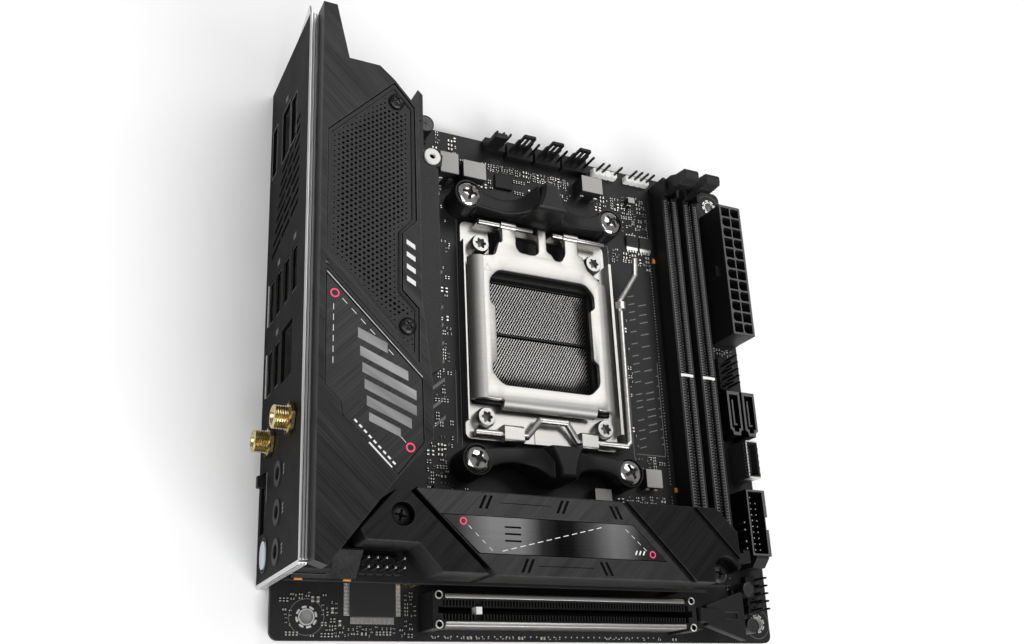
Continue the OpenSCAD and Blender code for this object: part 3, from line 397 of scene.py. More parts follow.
class Build:
    """Collects faces in board millimetres and turns them into one named piece."""

    def __init__(self):
        self.v, self.f, self.k, self.mats = [], [], [], []
        self.map = lambda p: p

    def _mat(self, m):
        if m not in self.mats:
            self.mats.append(m)
        return self.mats.index(m)

    def faces(self, pts, faces, m):
        base, k = len(self.v), self._mat(m)
        self.v += [self.map(p) for p in pts]
        self.f += [[base + i for i in f] for f in faces]
        self.k += [k] * len(faces)

    def box(self, lo, hi, m, c=0.0):
        """Block between two corners; c chamfers its top edges."""
        (x0, y0, z0), (x1, y1, z1) = lo, hi
        p = [(x0, y0, z0), (x1, y0, z0), (x1, y1, z0), (x0, y1, z0)]
        zs = z1 - c
        p += [(x0, y0, zs), (x1, y0, zs), (x1, y1, zs), (x0, y1, zs)]
        f = [(0, 1, 5, 4), (1, 2, 6, 5), (2, 3, 7, 6), (3, 0, 4, 7), (3, 2, 1, 0)]
        if c:
            p += [(x0 + c, y0 + c, z1), (x1 - c, y0 + c, z1), (x1 - c, y1 - c, z1), (x0 + c, y1 - c, z1)]
            f += [(4, 5, 9, 8), (5, 6, 10, 9), (6, 7, 11, 10), (7, 4, 8, 11), (8, 9, 10, 11)]
        else:
            f += [(4, 5, 6, 7)]
        self.faces(p, f, m)

    def cap(self, outline, holes, z, m, flip=False):
        pts, loops = [], []
        for loop in [outline] + list(holes):
            b = len(pts)
            pts += [Vector(p) for p in loop]
            loops.append(tuple(range(b, b + len(loop))))
        v, _, f, _, _, _ = delaunay_2d_cdt(pts, [], loops, 2, 1e-7)
        self.faces([(p.x, p.y, z) for p in v], [tuple(reversed(t)) if flip else tuple(t) for t in f], m)

    def prism(self, outline, z0, z1, m, r=0.0, holes=(), seg=3, hole_r=None, side=None):
        """Outline with holes, raised from z0 to z1, with its top edges rounded by r."""
        hr = r if hole_r is None else hole_r
        levels = [(z0, 0.0)]
        if r:
            levels += [(z1 - r + r * sin(radians(90 * i / seg)), 1 - cos(radians(90 * i / seg)))
                       for i in range(seg + 1)]
        else:
            levels += [(z1, 0.0)]
        loops = [(outline, -r)] + [(h, hr) for h in holes]
        for loop, d in loops:
            n = len(loop)
            rows = [offset(loop, d * t) if t else loop for _, t in levels]
            pts = [(x, y, z) for row, (z, _) in zip(rows, levels) for x, y in row]
            self.faces(pts, skin(len(levels), n), side or m)
        self.cap(outline, holes, z0, side or m, True)
        t = levels[-1][1]
        self.cap(offset(outline, -r * t) if r else outline, [offset(h, hr * t) if hr else h for h in holes],
                 z1, m)

    def lathe(self, centre, profile, m, n=32, axis="z"):
        """Profile of (radius, height) turned round an axis through centre. Ends on the axis are closed."""
        pts, rows = [], []
        for r, h in profile:
            rows.append(len(pts))
            for i in range(1 if r < 1e-6 else n):
                a = tau * i / n
                p = (r * cos(a), r * sin(a), h)
                if axis == "x":
                    p = (p[2], p[0], p[1])
                elif axis == "y":
                    p = (p[1], p[2], p[0])
                pts.append(tuple(c + q for c, q in zip(centre, p)))
        f = []
        for (r0, _), (r1, _), a, b in zip(profile, profile[1:], rows, rows[1:]):
            for i in range(n):
                j = (i + 1) % n
                if r0 < 1e-6 and r1 < 1e-6:
                    continue
                if r0 < 1e-6:
                    f.append((a, b + j, b + i))
                elif r1 < 1e-6:
                    f.append((a + i, a + j, b))
                else:
                    f.append((a + i, a + j, b + j, b + i))
        self.faces(pts, f, m)

    def strip(self, points, width, z, m, thick=0.03):
        """Flat printed or inlaid line along points in the plane."""
        for a, b in zip(points, points[1:]):
            a, b = Vector(a), Vector(b)
            d = (b - a).normalized() * width / 2
            n = Vector((-d.y, d.x))
            q = [a - n, b - n, b + n, a + n]
            self.faces([(p.x, p.y, z) for p in q] + [(p.x, p.y, z + thick) for p in q],
                       [(3, 2, 1, 0), (4, 5, 6, 7), (0, 1, 5, 4), (1, 2, 6, 5), (2, 3, 7, 6), (3, 0, 4, 7)],
                       m)

    def patch(self, poly, z, m, thick=0.03, holes=()):
        self.prism(poly, z, z + thick, m, holes=holes)

    def make(self, name, body="board", replaces=(), bevel=0.0, angle=35, merge=False):
        me = bpy.data.meshes.new(name)
        me.from_pydata([tuple(at(*p)) for p in self.v], [], self.f)
        for m in self.mats:
            me.materials.append(m)
        me.polygons.foreach_set("material_index", self.k)
        bm = bmesh.new()
        bm.from_mesh(me)
        if merge:
            bmesh.ops.remove_doubles(bm, verts=bm.verts, dist=1e-7)
        bmesh.ops.dissolve_degenerate(bm, edges=bm.edges, dist=1e-8)
        bmesh.ops.recalc_face_normals(bm, faces=bm.faces)
        bm.to_mesh(me)
        bm.free()
        me.polygons.foreach_set("use_smooth", [True] * len(me.polygons))
        me.set_sharp_from_angle(angle=radians(angle))
        ob = bpy.data.objects.new(name, me)
        bpy.context.collection.objects.link(ob)
        if bevel:
            round_edges(ob, bevel)
        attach(ob, body)
        if replaces:
            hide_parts(*replaces)
        return ob


def driven_head(b, centre, r, h, m, kind="cross", turn=0.0):
    """Domed screw head with its driver recess: a height field over a disc, and a skirt down to its seat."""
    cx, cy, cz = centre
    rings, seg = 22, 96

    def in_recess(x, y):
        a, rr = atan2(y, x) + turn, hypot(x, y) / r
        if kind == "star":
            return rr < 0.47 + 0.085 * cos(6 * a)
        u, v = abs(rr * cos(a)), abs(rr * sin(a))
        return min(u, v) < 0.105 and max(u, v) < 0.58 or rr < 0.24

    def height(x, y, sunk):
        rr = hypot(x, y) / r
        if kind == "cross":
            top = sqrt(max(0.0, 1 - (rr * 0.95) ** 2)) * h
            return cz + max(top - (0.75 * h * (1 - rr) if sunk else 0.0), 0.02)
        top = h * (1.0 if rr < 0.86 else 1.0 - 0.35 * (rr - 0.86) / 0.14)
        return cz + top - (0.45 * h if sunk else 0.0)

    spots = [(0.0, 0.0)]
    for j in range(1, rings + 1):
        for i in range(seg):
            a = tau * i / seg
            spots.append((r * j / rings * cos(a), r * j / rings * sin(a)))
    sunk = [in_recess(x, y) for x, y in spots]
    pts = [(cx + x, cy + y, height(x, y, q)) for (x, y), q in zip(spots, sunk)]
    f = [(0, 1 + i, 1 + (i + 1) % seg) for i in range(seg)]
    for j in range(rings - 1):
        a, c = 1 + j * seg, 1 + (j + 1) * seg
        f += [(a + i, c + i, c + (i + 1) % seg, a + (i + 1) % seg) for i in range(seg)]
    n = len(pts)
    last = 1 + (rings - 1) * seg
    pts += [(x, y, cz) for x, y, _ in pts[last:]] + [(cx, cy, cz)]
    f += [(last + i, n + i, n + (i + 1) % seg, last + (i + 1) % seg) for i in range(seg)]
    f += [(n + i, n + seg, n + (i + 1) % seg) for i in range(seg)]
    # faces inside the driver recess take a darker material than the head: painted shade
    dark = [q for q in f if all(k < len(sunk) and sunk[k] for k in q)]
    light = [q for q in f if q not in set(dark)]
    b.faces(pts, light, m)
    b.faces(pts, dark, M_RECESS_PAINTED_SHADE if m is M_HEAD else M_VOID if m is M_OXIDE else M_DARKSTEEL)


# ---------- port cover, grille and accent plate ----------

COVER_TOP = (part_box("port_cover")[1].z - PCB_HIGH.z) / MM
GRILLE = [(19.9, 150.3), (0.8, 130.7), (0.8, 94.4), (18.8, 75.3), (18.8, 73.7), (26.2, 66.2), (26.4, 81.7),
          (21.8, 86.4), (22, 103.1), (26, 107.5), (26, 143.3)]
GRILLE_SCREWS = ((20.6, 144.4), (23.2, 76.4))
ACCENT = [(0.8, 88.2), (27, 62), (27.2, 44.7), (20, 35.8), (5.3, 50.2), (5.1, 53.3), (0.8, 57.6)]


def inside_by(poly, x, y):
    """Distance of a point inside a convex or concave outline from its nearest edge; negative outside."""
    best, odd = 1e9, False
    for (ax, ay), (bx, by) in zip(poly, poly[1:] + poly[:1]):
        dx, dy = bx - ax, by - ay
        t = max(0.0, min(1.0, ((x - ax) * dx + (y - ay) * dy) / (dx * dx + dy * dy)))
        best = min(best, hypot(x - ax - t * dx, y - ay - t * dy))
        if (ay > y) != (by > y) and x < ax + (y - ay) * dx / dy:
            odd = not odd
    return best if odd else -best


def make_grille():
    b = Build()
    top = COVER_TOP - 0.35
    outer = offset(GRILLE, -0.12)
    inner = offset(GRILLE, -1.3)
    holes = []
    px, py = 1.2, 1.56
    for i in range(23):
        for j in range(62):
            x = 1.6 + i * px
            y = 66 + j * py + (i % 2) * py / 2
            d = inside_by(inner, x, y)
            if d < 0.5 or any(hypot(x - sx, y - sy) < 3.4 for sx, sy in GRILLE_SCREWS):
                continue
            r = 0.46 if d > 3.2 else 0.24 + 0.22 * max(0.0, d - 0.5) / 2.7
            holes.append(ring(x, y, r, 10, 0.3))
    # the walls of the holes and the plate's sides are black moulding: painted shade in the perforations
    b.prism(inner, top - 1.0, top - 0.35, M_BLAST, holes=holes, side=M_BLACK)
    b.prism(outer, top - 1.2, top, M_BLAST, r=0.12, seg=1, holes=[offset(inner, 0.05)], hole_r=0.2)
    b.make("fan_grille_plate", replaces=("fan_grille",), merge=True)


def make_cover_trim():
    b = Build()
    top = COVER_TOP
    # three grooves between grille and accent plate, drawn as raised ribs with dark gaps
    for k, w in ((2.2, 0.9), (3.7, 0.9), (5.2, 0.7)):
        b.strip([(1.2, 94.6 - k), (19.4 + k * 0.2, 76.2 - k * 1.2)], w, top, M_COVER, 0.22)
    b.strip([(0.6, 91.1), (20, 71.6)], 0.35, top, M_SCREW, 0.04)
    # edge band along the cover's long side
    b.strip([(26.0, 143.6), (26.2, 108.5)], 0.35, top, M_BLAST, 0.12)
    # generic slanted marks in place of a badge
    for k in range(4):
        y = 88.8 + k * 3.6
        b.patch([(22.9, y + 0.5), (25.4, y - 0.9), (25.4, y + 0.5), (22.9, y + 1.9)], top, M_PRINT, 0.03)
    b.make("port_cover_trim", merge=True)
    b = Build()
    b.lathe((41.3, 145.4, 0), [(0, 20.9), (0.94, 20.9), (0.94, 16.5), (0, 16.5)], M_VOID, 20)
    b.prism(ring(41.3, 145.4, 2.7, 36), 21.0, 21.8, M_WHITE, holes=[ring(41.3, 145.4, 0.96, 24)], r=0.25,
            seg=3, hole_r=0.1)
    b.prism(ring(41.3, 145.4, 1.95, 28), 16.4, 21.02, M_WHITE, holes=[ring(41.3, 145.4, 0.95, 24)])
    b.make("heatsink_nut_ring", replaces=("heatsink_nut",))


def make_accent():
    b = Build()
    top = COVER_TOP - 0.15
    b.prism(offset(ACCENT, -0.1), top - 1.2, top, M_ACCENT, r=0.15, seg=1)
    z = top
    # bright bevel along the edge that faces the grille
    b.prism([(1.0, 88.7), (27.0, 62.6), (27.0, 62.1), (1.0, 88.1)], z - 0.3, z + 0.18, M_EDGE, r=0.08, seg=1)
    # rings and dashes
    for x, y in ((3.2, 82.6), (23.4, 43.2)):
        b.prism(ring(x, y, 1.25, 32), z, z + 0.06, M_PINK, holes=[ring(x, y, 0.85, 32)])
    for k in range(6):
        b.strip([(5.2 + k * 2.5, 81.4 - k * 2.5), (6.5 + k * 2.5, 80.1 - k * 2.5)], 0.16, z, M_PRINT)
        b.strip([(2.9, 79.6 - k * 2.9), (2.9, 77.9 - k * 2.9)], 0.16, z, M_PRINT)
    b.strip([(18.2, 48.4), (22.2, 44.4)], 0.12, z, M_PRINT)
    # generic graphic: separate parallel bars
    bars = ((9.4, 71.2, 2.8, 8.0), (10.0, 66.4, 2.6, 13.0), (10.6, 62.0, 2.6, 14.6), (11.2, 57.6, 2.6, 14.0),
            (11.8, 53.2, 2.6, 12.0), (12.4, 49.2, 2.2, 8.4))
    for x, y, w, length in bars:
        x1 = min(x + length, 25.7)
        k = x1 - x
        b.patch([(x, y), (x1, y - k * 0.42), (x1, y - k * 0.42 + w), (x, y + w)], z, M_BLADE, 0.05)
    b.strip([(12.4, 43.6), (18.4, 37.6)], 0.5, z, M_PRINT)
    for k in range(9):
        x = 8.6 + k * 1.25
        b.strip([(x, 49.2 - k * 1.25), (x + 0.7, 48.5 - k * 1.25)], 0.5, z, M_PRINT)
    b.make("accent_plate_face", replaces=("accent_plate",), merge=True)


make_grille()
make_cover_trim()
make_accent()

# ---------- processor socket ----------

COOLER_X, COOLER_Y = 27, 45  # half the spacing of the cooler screws

SOCKET = [(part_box("contact_field")[0][i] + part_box("contact_field")[1][i]) / 2 for i in (0, 1)]
SX = (SOCKET[0] - PCB_LOW.x) / MM
SY = (SOCKET[1] - PCB_LOW.y) / MM


def on_socket(p):
    """A point measured from the socket's centre."""
    return (p[0] + SX, p[1] + SY, p[2])


def make_load_plate():
    b = Build()
    b.map = on_socket
    hw = 26.0
    lo, z0, z1 = -26.8, 5.6, 7.0
    flat, near = hw - 3.3, lo + 2.6
    outline = [(-flat, -24.2), (-17.4, -24.4), (-16.4, near), (18.4, near), (19.6, -24.4), (flat, -24.2),
               (flat, 22.4), (17.7, 26.2), (16.2, 30.9), (14.6, 30.9), (14.6, 36.2), (9.2, 36.2), (9.2, 30.2),
               (7.6, 27.6), (5.2, 27.6), (4.2, 29.6), (2.4, 30.2), (2.4, 38.3), (-1.0, 38.3), (-1.0, 29.4),
               (-2.0, 28.4), (-4.0, 28.0), (-8.2, 28.4), (-9.2, 30.2), (-9.2, 36.2), (-14.6, 36.2),
               (-14.6, 30.9), (-15.9, 30.9), (-17.4, 25.9), (-flat, 25.0)]
    w, h = 19.5, 19.8
    window = [(-w, -h + 4.2), (-w + 3.6, -h + 0.6), (w - 3.6, -h + 0.6), (w, -h + 4.2), (w, -8.2),
              (w - 1.8, -7.2), (w - 1.8, 11), (w, 12), (w, h - 3), (w - 3.2, h + 0.6), (-w + 3.2, h + 0.6),
              (-w, h - 3), (-w, 8.6), (-w + 1.8, 7.4), (-w + 1.8, -11.4), (-w, -12.6)]
    b.prism(soften(outline, 1.0), z0, z1, M_SATIN, r=0.5, seg=3, holes=[soften(window, 1.6)], hole_r=0.35)

    # rolled side and lower edges, in the lighter copy of the plate's steel: painted highlight
    def rolled(start, reach, drop, thick, sign):
        """Section (height, place) of an edge rolled down from the flat top."""
        turns = [radians(7.5 * i) for i in range(13)]
        rim = z1 - drop
        out = [(rim + drop * cos(t) + 0.004, sign * (start + reach * sin(t))) for t in turns]
        back = [(rim + (drop - thick) * cos(t), sign * (start + (reach - thick) * sin(t)))
                for t in reversed(turns)]
        return [(out[0][0], sign * (start - 0.6))] + out + back + [(back[-1][0], sign * (start - 0.6))]

    for sign, y0, y1 in ((-1, -24.1, 24.9), (1, -24.1, 21.6)):
        b.map = lambda p: on_socket((p[1], p[2], p[0]))
        b.prism(rolled(hw - 3.8, 3.8, 3.6, 1.2, sign), y0, y1, M_ROLL_PAINTED_HIGHLIGHT)
    b.map = lambda p: on_socket((p[2], p[1], p[0]))
    b.prism(rolled(-lo - 3.0, 3.0, 2.8, 1.2, -1), -15.9, 17.9, M_ROLL_PAINTED_HIGHLIGHT)
    # ears curled round the hinge bars
    b.map = lambda p: on_socket((p[2], p[0], p[1]))
    loop = [(37.5 + r * sin(radians(a + step * i)), 5.6 + r * cos(radians(a + step * i)))
            for r, a, step in ((1.65, -150, 20), (1.0, 130, -20)) for i in range(15)]
    for x in (-14.6, 9.2):
        b.prism(loop, x, x + 5.4, M_SATIN)
    b.map = on_socket
    # pressed triangle
    t = [(-21.5, 19.6), (-18.9, 19.6), (-20.2, 22)]
    for a, c in zip(t, t[1:] + t[:1]):
        b.strip([a, c], 0.16, z1, M_CONTACT, 0.015)
    b.make("load_plate_pressed", body="plate", replaces=("load_plate",), angle=30,
           merge=True)


def make_contacts():
    b = Build()
    b.map = on_socket
    b.prism(rounded(-18.5, -18.5, 18.5, 18.5, 0.5), 0, 1.55, M_VOID)
    half, across, along = 18.1, 0.94, 0.81
    # staggered rows of sprung blades that line up aslant
    for j in range(int(2 * half / along)):
        y = -half + (j + 0.5) * along
        if abs(y) < 0.8:
            continue
        for i in range(int(2 * half / across)):
            x = -half + (i + 0.25 + (j % 2) / 2) * across
            tip = x + across / 2
            b.faces([(x - 0.19, y - 0.38, 1.56), (x + 0.19, y - 0.38, 1.56), (tip + 0.17, y + 0.36, 2.0),
                     (tip - 0.17, y + 0.36, 2.0), (tip + 0.17, y + 0.38, 1.56), (tip - 0.17, y + 0.38, 1.56)],
                     [(0, 1, 2, 3), (1, 4, 2), (0, 3, 5), (3, 2, 4, 5)], M_CONTACT)
    b.box((-half, -0.25, 1.5), (half, 0.25, 1.9), M_BLACK, 0.08)
    for s in (-1, 1):
        b.box((-18.5, s * 18.3 - 0.2, 1.5), (18.5, s * 18.3 + 0.2, 2.1), M_BLACK, 0.08)
        b.box((s * 18.3 - 0.2, -18.5, 1.5), (s * 18.3 + 0.2, 18.5, 2.1), M_BLACK, 0.08)
    b.make("contact_field_array", replaces=("contact_field",))


def make_screws():
    b = Build()
    for sx in (-COOLER_X, COOLER_X):
        for sy in (-COOLER_Y, COOLER_Y):
            b.lathe((SX + sx, SY + sy, 0), [(0, -3.4), (1.5, -3.4), (1.5, 7.3), (4.2, 7.3), (4.2, 8.2)],
                    M_CHROME, 32)
            driven_head(b, (SX + sx, SY + sy, 8.0), 4.35, 2.5, M_CHROME, "cross",
                        turn=0.6 + sx * 0.1 + sy * 0.05)
    b.make("bracket_screw_set", replaces=("bracket_screws",), angle=24)
    b = Build()
    for sx in (-21.5, 21.5):
        for sy in (-29.9, 29.9):
            b.lathe((SX + sx, SY + sy, 0), [(0, -3.8), (1.2, -3.8), (1.2, 2.0), (3.2, 2.0), (3.2, 2.4)],
                    M_HEAD, 24)
            driven_head(b, (SX + sx, SY + sy, 2.05), 3.3, 3.3, M_HEAD, "star")
    b.make("socket_screw_set", replaces=("socket_screws",), angle=24)
    b = Build()
    for x, y in GRILLE_SCREWS:
        driven_head(b, (x, y, COVER_TOP - 0.5), 2.3, 1.3, M_SCREW, "cross", turn=0.9)
    b.make("grille_screw_set", replaces=("grille_screws",), angle=24)


make_load_plate()
make_contacts()
make_screws()

# ---------- cooler brackets ----------

def loft(b, levels, m):
    """Skin through outlines of equal length at rising heights, closed at both ends."""
    n = len(levels[0][0])
    pts = [(x, y, z) for row, z in levels for x, y in row]
    b.faces(pts, skin(len(levels), n), m)
    b.cap(levels[0][0], [], levels[0][1], m, True)
    b.cap(levels[-1][0], [], levels[-1][1], m)


def make_bracket(name, node, sign):
    """Moulded bracket: two eyelets, two curved arms that sweep up into a flared centre lug."""
    b = Build()
    b.map = lambda p: (p[0] * sign + SX, p[1] * sign + SY + sign * COOLER_Y, p[2])
    for x in (-COOLER_X, COOLER_X):
        b.prism(ring(x, 0, 5.1, 48), 0, 9.4, M_BRACKET, r=0.4, seg=4, holes=[ring(x, 0, 4.5, 48)],
                hole_r=0.12)
        b.prism(ring(x, 0, 4.6, 36), 0, 7.3, M_BRACKET, holes=[ring(x, 0, 2.15, 20)])

    def station(t, s):
        """Cross-section of an arm, t from the eyelet to the lug: front foot, back foot, and rounded crest."""
        x = s * (24.6 - 20.9 * t)
        front = -3.9 - 1.0 * sin(pi * min(1, t * 0.72))
        back = 3.7 - 3.4 * sin(pi * min(1.0, t / 0.94)) ** 0.8 + 1.7 * max(0, t - 0.8) / 0.2
        crest = 9.4 + 5.2 * max(0.0, (t - 0.42) / 0.58) ** 2.2
        r = 0.7
        lean = 0.25 * (crest - 9.4)
        pts = [(front, 2.6), (back, 2.6), (back, crest - r)]
        pts += arc(back - r, crest - r, r, 30, 90, 2)
        pts += [(front + lean + r - r * cos(radians(a)), crest - r + r * sin(radians(a)))
                for a in (90, 60, 30)]
        pts += [(front + lean, crest - r)]
        return [(x, y, z) for y, z in pts]

    for s in (-1, 1):
        rows = [station(i / 20, s) for i in range(21)]
        n = len(rows[0])
        pts = [p for row in rows for p in row]
        b.faces(pts, skin(21, n) + [tuple(range(n)), tuple(range(20 * n, 21 * n))], M_BRACKET)
    # centre lug: wide root, narrow tip, flared shoulders
    foot = [(-8.2, -4.6), (8.2, -4.6), (6.6, -2.2), (5.0, 0.4), (4.3, 2.4), (4.0, 5.4), (-4.0, 5.4),
            (-4.3, 2.4), (-5.0, 0.4), (-6.6, -2.2)]
    mid = [(x * 0.82, y) for x, y in foot]
    top = [(x * 0.7, y) for x, y in foot]
    foot, mid, top = (soften(o, 0.9) for o in (foot, mid, top))
    loft(b, [(foot, 2.6), (foot, 8.6), (mid, 11.4), (top, 15.6), (offset(top, -0.25), 16.7),
             (offset(top, -0.9), 17.2)], M_BRACKET)
    b.make(name, replaces=(node,), angle=40)


make_bracket("cooler_bracket_far", "cooler_bracket_top", 1)
make_bracket("cooler_bracket_near", "cooler_bracket_bottom", -1)

# ---------- memory slots and card slot ----------

MEMORY_X = (140.6, 149.8)
CARD_Y = 7.6

def make_slot_contacts():
    b = Build()
    for x in MEMORY_X:
        for s in (-1, 1):
            a, c = sorted((x + s * 1.02, x + s * 2.48))
            for y0, y1 in ((28.3, 88.5), (90.7, 157.3)):
                b.box((a, y0, 6.9), (c, y1, 7.3), M_VOID)
                b.box((a, y0, 7.2), (a + 0.24, y1, 8.0), M_LADDER)
                b.box((c - 0.24, y0, 7.2), (c, y1, 8.0), M_LADDER)
                n = int(y1 - y0)
                for i in range(n + 1):
                    y = y0 + (y1 - y0 - 0.3) * i / n
                    b.box((a, y, 7.2), (c, y + 0.34, 7.95), M_LADDER)
                    b.box((x + s * 0.3 - 0.14, y + 0.1, 5.8), (x + s * 0.3 + 0.14, y + 0.42, 7.2), M_CONTACT)
    b.make("memory_contact_strips", replaces=("dimm_contacts",))
    b = Build()
    for x in MEMORY_X:
        b.box((x - 2.6, 89.1, 7.0), (x + 2.6, 90.1, 8.12), M_WHITE, 0.1)
    b.make("memory_slot_keys", bevel=0.08, merge=True)


def make_latch(name, node, body, x):
    b = Build()
    b.map = lambda p: (p[2] + x, p[0], p[1])
    arm = soften([(159.2, 1.8), (164.6, 1.8), (165.4, 3.4), (165.2, 12.6), (164, 15.6), (160.6, 15.6),
                  (160.6, 4.6), (159.2, 4.2)], 0.5)
    b.prism(arm, -1.8, 1.8, M_BLACK)
    # finger pad with four ribs on the side that faces the slot
    pad = [(159.3, 15.0), (163.2, 15.4), (163, 17.4), (162.4, 22.2), (161.8, 22.7), (159.9, 22.8)]
    for k in range(4):
        y, z = 158.9 - k * 0.06, 22.5 - k
        pad += [(y, z), (y - 0.4, z - 0.12), (y - 0.4, z - 0.6), (y + 0.15, z - 0.78)]
    pad += [(158.4, 18.4), (158.4, 16.2)]
    b.prism(pad, -2.75, 2.75, M_PAD)
    b.map = lambda p: p
    b.lathe((x - 3.2, 163.4, 3.2), [(0, 0), (1.1, 0), (1.1, 6.4), (0, 6.4)], M_BLACK, 24, "x")
    b.make(name, body=body, replaces=(node,), bevel=0.28, angle=40, merge=True)


def make_card_slot():
    b = Build()
    for s in (-1, 1):
        a, c = sorted((CARD_Y + s * 1.1, CARD_Y + s * 2.75))
        for i in range(82):
            x = 46.6 + i
            if 55.9 < x < 58.6:
                continue
            b.box((x, a, 9.7), (x + 0.42, c, 11.1), M_BLACK, 0.06)
            b.box((x + 0.55, CARD_Y + s * 1.3 - 0.15, 8.6), (x + 0.85, CARD_Y + s * 1.3 + 0.15, 9.9),
                  M_CONTACT)
    for x in (44.6, 130.4):
        for s in (-1, 1):
            b.prism(ring(x, CARD_Y + s * 4.1, 1.2, 28), 11.4, 11.85, M_TIN,
                    holes=[ring(x, CARD_Y + s * 4.1, 0.82, 28)], r=0.08, seg=1)
    b.make("card_slot_comb")
    b = Build()
    for s in (-1, 1):
        y0, y1 = sorted((CARD_Y + s * 3.2, CARD_Y + s * 4.55))
        b.prism(rounded(46.5, y0, 127.8, y1, 0.3, 3), 11.2, 11.72, M_BAR, r=0.18, seg=2)
        y0, y1 = sorted((CARD_Y + s * 4.0, CARD_Y + s * 4.5))
        b.box((46.6, y0, 0.4), (127.7, y1, 11.5), M_SATIN, 0.1)
    b.make("card_slot_bars", replaces=("card_slot_shield",), bevel=0.05, merge=True)


make_slot_contacts()
make_latch("memory_latch_near", "dimm_latch_a", "slot_latch_a", MEMORY_X[0])
make_latch("memory_latch_far", "dimm_latch_b", "slot_latch_b", MEMORY_X[1])
make_card_slot()

# ---------- power headers and pin headers ----------

PITCH = 2.54
KEY_CELL = 8  # the cell left without a pin
HEADER_Y = 167.0

def cavity(x, y, round_left):
    """Outline of one plug opening; keyed ones have two round corners."""
    if not round_left:
        return rounded(x, y, x + 3.6, y + 3.5, 0.15, 1)
    r = 1.25
    turns = arc(x + r, y + 3.5 - r, r, 90, 180, 4) + arc(x + r, y + r, r, 180, 270, 4)
    return [(x + 3.6, y + 0.1), (x + 3.6, y + 3.4)] + turns


def make_power(name, node, rows, place, keyed):
    b = Build()
    b.map = place
    length = rows * 4.2 + 1.2
    holes = [cavity(0.85 + j * 4.2, 0.85 + i * 4.2, keyed[rows - 1 - i] == j)
             for i in range(rows) for j in (0, 1)]
    # top face lighter grey than the black sides: painted highlight
    b.prism(rounded(0, 0, 9.6, length, 0.3, 2), 3.0, 12.8, M_HEADER_TOP_PAINTED_HIGHLIGHT, holes=holes, r=0.12, seg=1, side=M_BLACK)
    b.box((0, 0, 0), (9.6, length, 3.05), M_BLACK)
    for i in range(rows):
        for j in (0, 1):
            x, y = 2.2 + j * 4.2, 2.2 + i * 4.2
            b.box((x, y, 3), (x + 0.9, y + 0.9, 9.4), M_TIN, 0.2)
    b.prism([(-1.5, length / 2 - 2), (0.1, length / 2 - 2), (0.1, length / 2 + 2), (-1.5, length / 2 + 2)], 4,
            9, M_BLACK)
    b.make(name, replaces=(node,))


def pin(b, x, y, z0, z1, m, w=0.32):
    """Square pin with a pointed tip."""
    t = 0.5 * w
    p = [(x - w, y - w, z0), (x + w, y - w, z0), (x + w, y + w, z0), (x - w, y + w, z0)]
    p += [(px, py, z1 - 0.5) for px, py, _ in p[:4]]
    p += [(x - t, y - t, z1), (x + t, y - t, z1), (x + t, y + t, z1), (x - t, y + t, z1)]
    walls = skin(2, 4)
    # a tinned pin's shaft is drawn in dark steel and only its pointed tip in tin: painted shade down the
    # shaft
    b.faces(p[:8], [(3, 2, 1, 0)] + walls, M_DARKSTEEL if m is M_TIN else m)
    b.faces(p[4:], [(4, 5, 6, 7)] + walls, m)


def cell(x, y, hx, hy, cut=0.8):
    """Outline of one header cell: a rectangle with its corners cut."""
    return [(x - hx, y - cut), (x - cut, y - hy), (x + cut, y - hy), (x + hx, y - cut), (x + hx, y + cut),
            (x + cut, y + hy), (x - cut, y + hy), (x - hx, y + cut)]


def make_pins(name, node, x0, y0, nx, ny, base, tip, z=0.0, pin_mat=M_TIN):
    b = Build()
    for i in range(nx):
        for j in range(ny):
            x, y = x0 + i * PITCH, y0 + j * PITCH
            b.prism(cell(x, y, 1.27, 1.27), z, z + base, M_BLACK, r=0.15, seg=1)
            if i + j * nx != KEY_CELL:
                pin(b, x, y, z + base, z + tip, pin_mat)
    b.make(name, replaces=(node,))


def make_fan_headers():
    b = Build()
    for x in (82.2, 93.2, 104.1):
        b.prism(rounded(x - 5.06, HEADER_Y - 2.6, x + 5.06, HEADER_Y + 3.0, 0.25, 2), 0, 3.2, M_BLACK, r=0.2,
                seg=2)
        for i in range(4):
            pin(b, x + (i - 1.5) * PITCH, HEADER_Y - 0.4, 3.2, 10.8, M_BLACK if i < 3 else M_SCREW)
        b.map = lambda p, x=x: (x + p[0], HEADER_Y + 1.3 + p[2], p[1])
        frame_line = [(-2.5, 3.2), (2.8, 3.2), (2.8, 10.4), (2.4, 10.8), (-1.5, 10.8), (-1.9, 10.4),
                      (-1.9, 7.2), (-2.5, 6.8)]
        b.prism(frame_line, 0, 1.0, M_BLACK,
                holes=[rounded(-1.1, 4.8, 0.1, 9.4, 0.15, 1), rounded(0.7, 4.8, 1.9, 9.4, 0.15, 1)], r=0.12,
                seg=1)
        b.map = lambda p: p
    # reversed header with its solid tab in front
    x = 72.65
    b.prism(rounded(x - 3.8, HEADER_Y - 1.4, x + 3.8, HEADER_Y + 3.0, 0.25, 2), 0, 3.2, M_BLACK, r=0.2, seg=2)
    for i in (-1, 0, 1):
        pin(b, x + i * PITCH, HEADER_Y + 1.02, 3.2, 10.8, M_SCREW)
    b.prism(rounded(x - 3.7, HEADER_Y - 1.4, x + 1.0, HEADER_Y + 0.4, 0.15, 1), 3.2, 11.2, M_BLACK, r=0.4,
            seg=1)
    b.make("fan_header_row", replaces=("fan_headers",))


def make_light_headers():
    b = Build()
    y = HEADER_Y
    for x0, skip in ((113.6, (2,)), (127.5, ())):
        b.box((x0 - 1.27, y - 1.05, 0), (x0 + 3 * PITCH + 1.27, y + 1.05, 1.7), M_WHITE, 0.1)
        for i in range(4):
            x = x0 + i * PITCH
            b.prism(cell(x, y, 1.24, 1.25), 0, 2.6, M_WHITE, r=0.2, seg=1)
            if i not in skip:
                pin(b, x, y, 2.6, 8.2, M_SCREW)
    b.make("light_header_pair", replaces=("light_headers",))


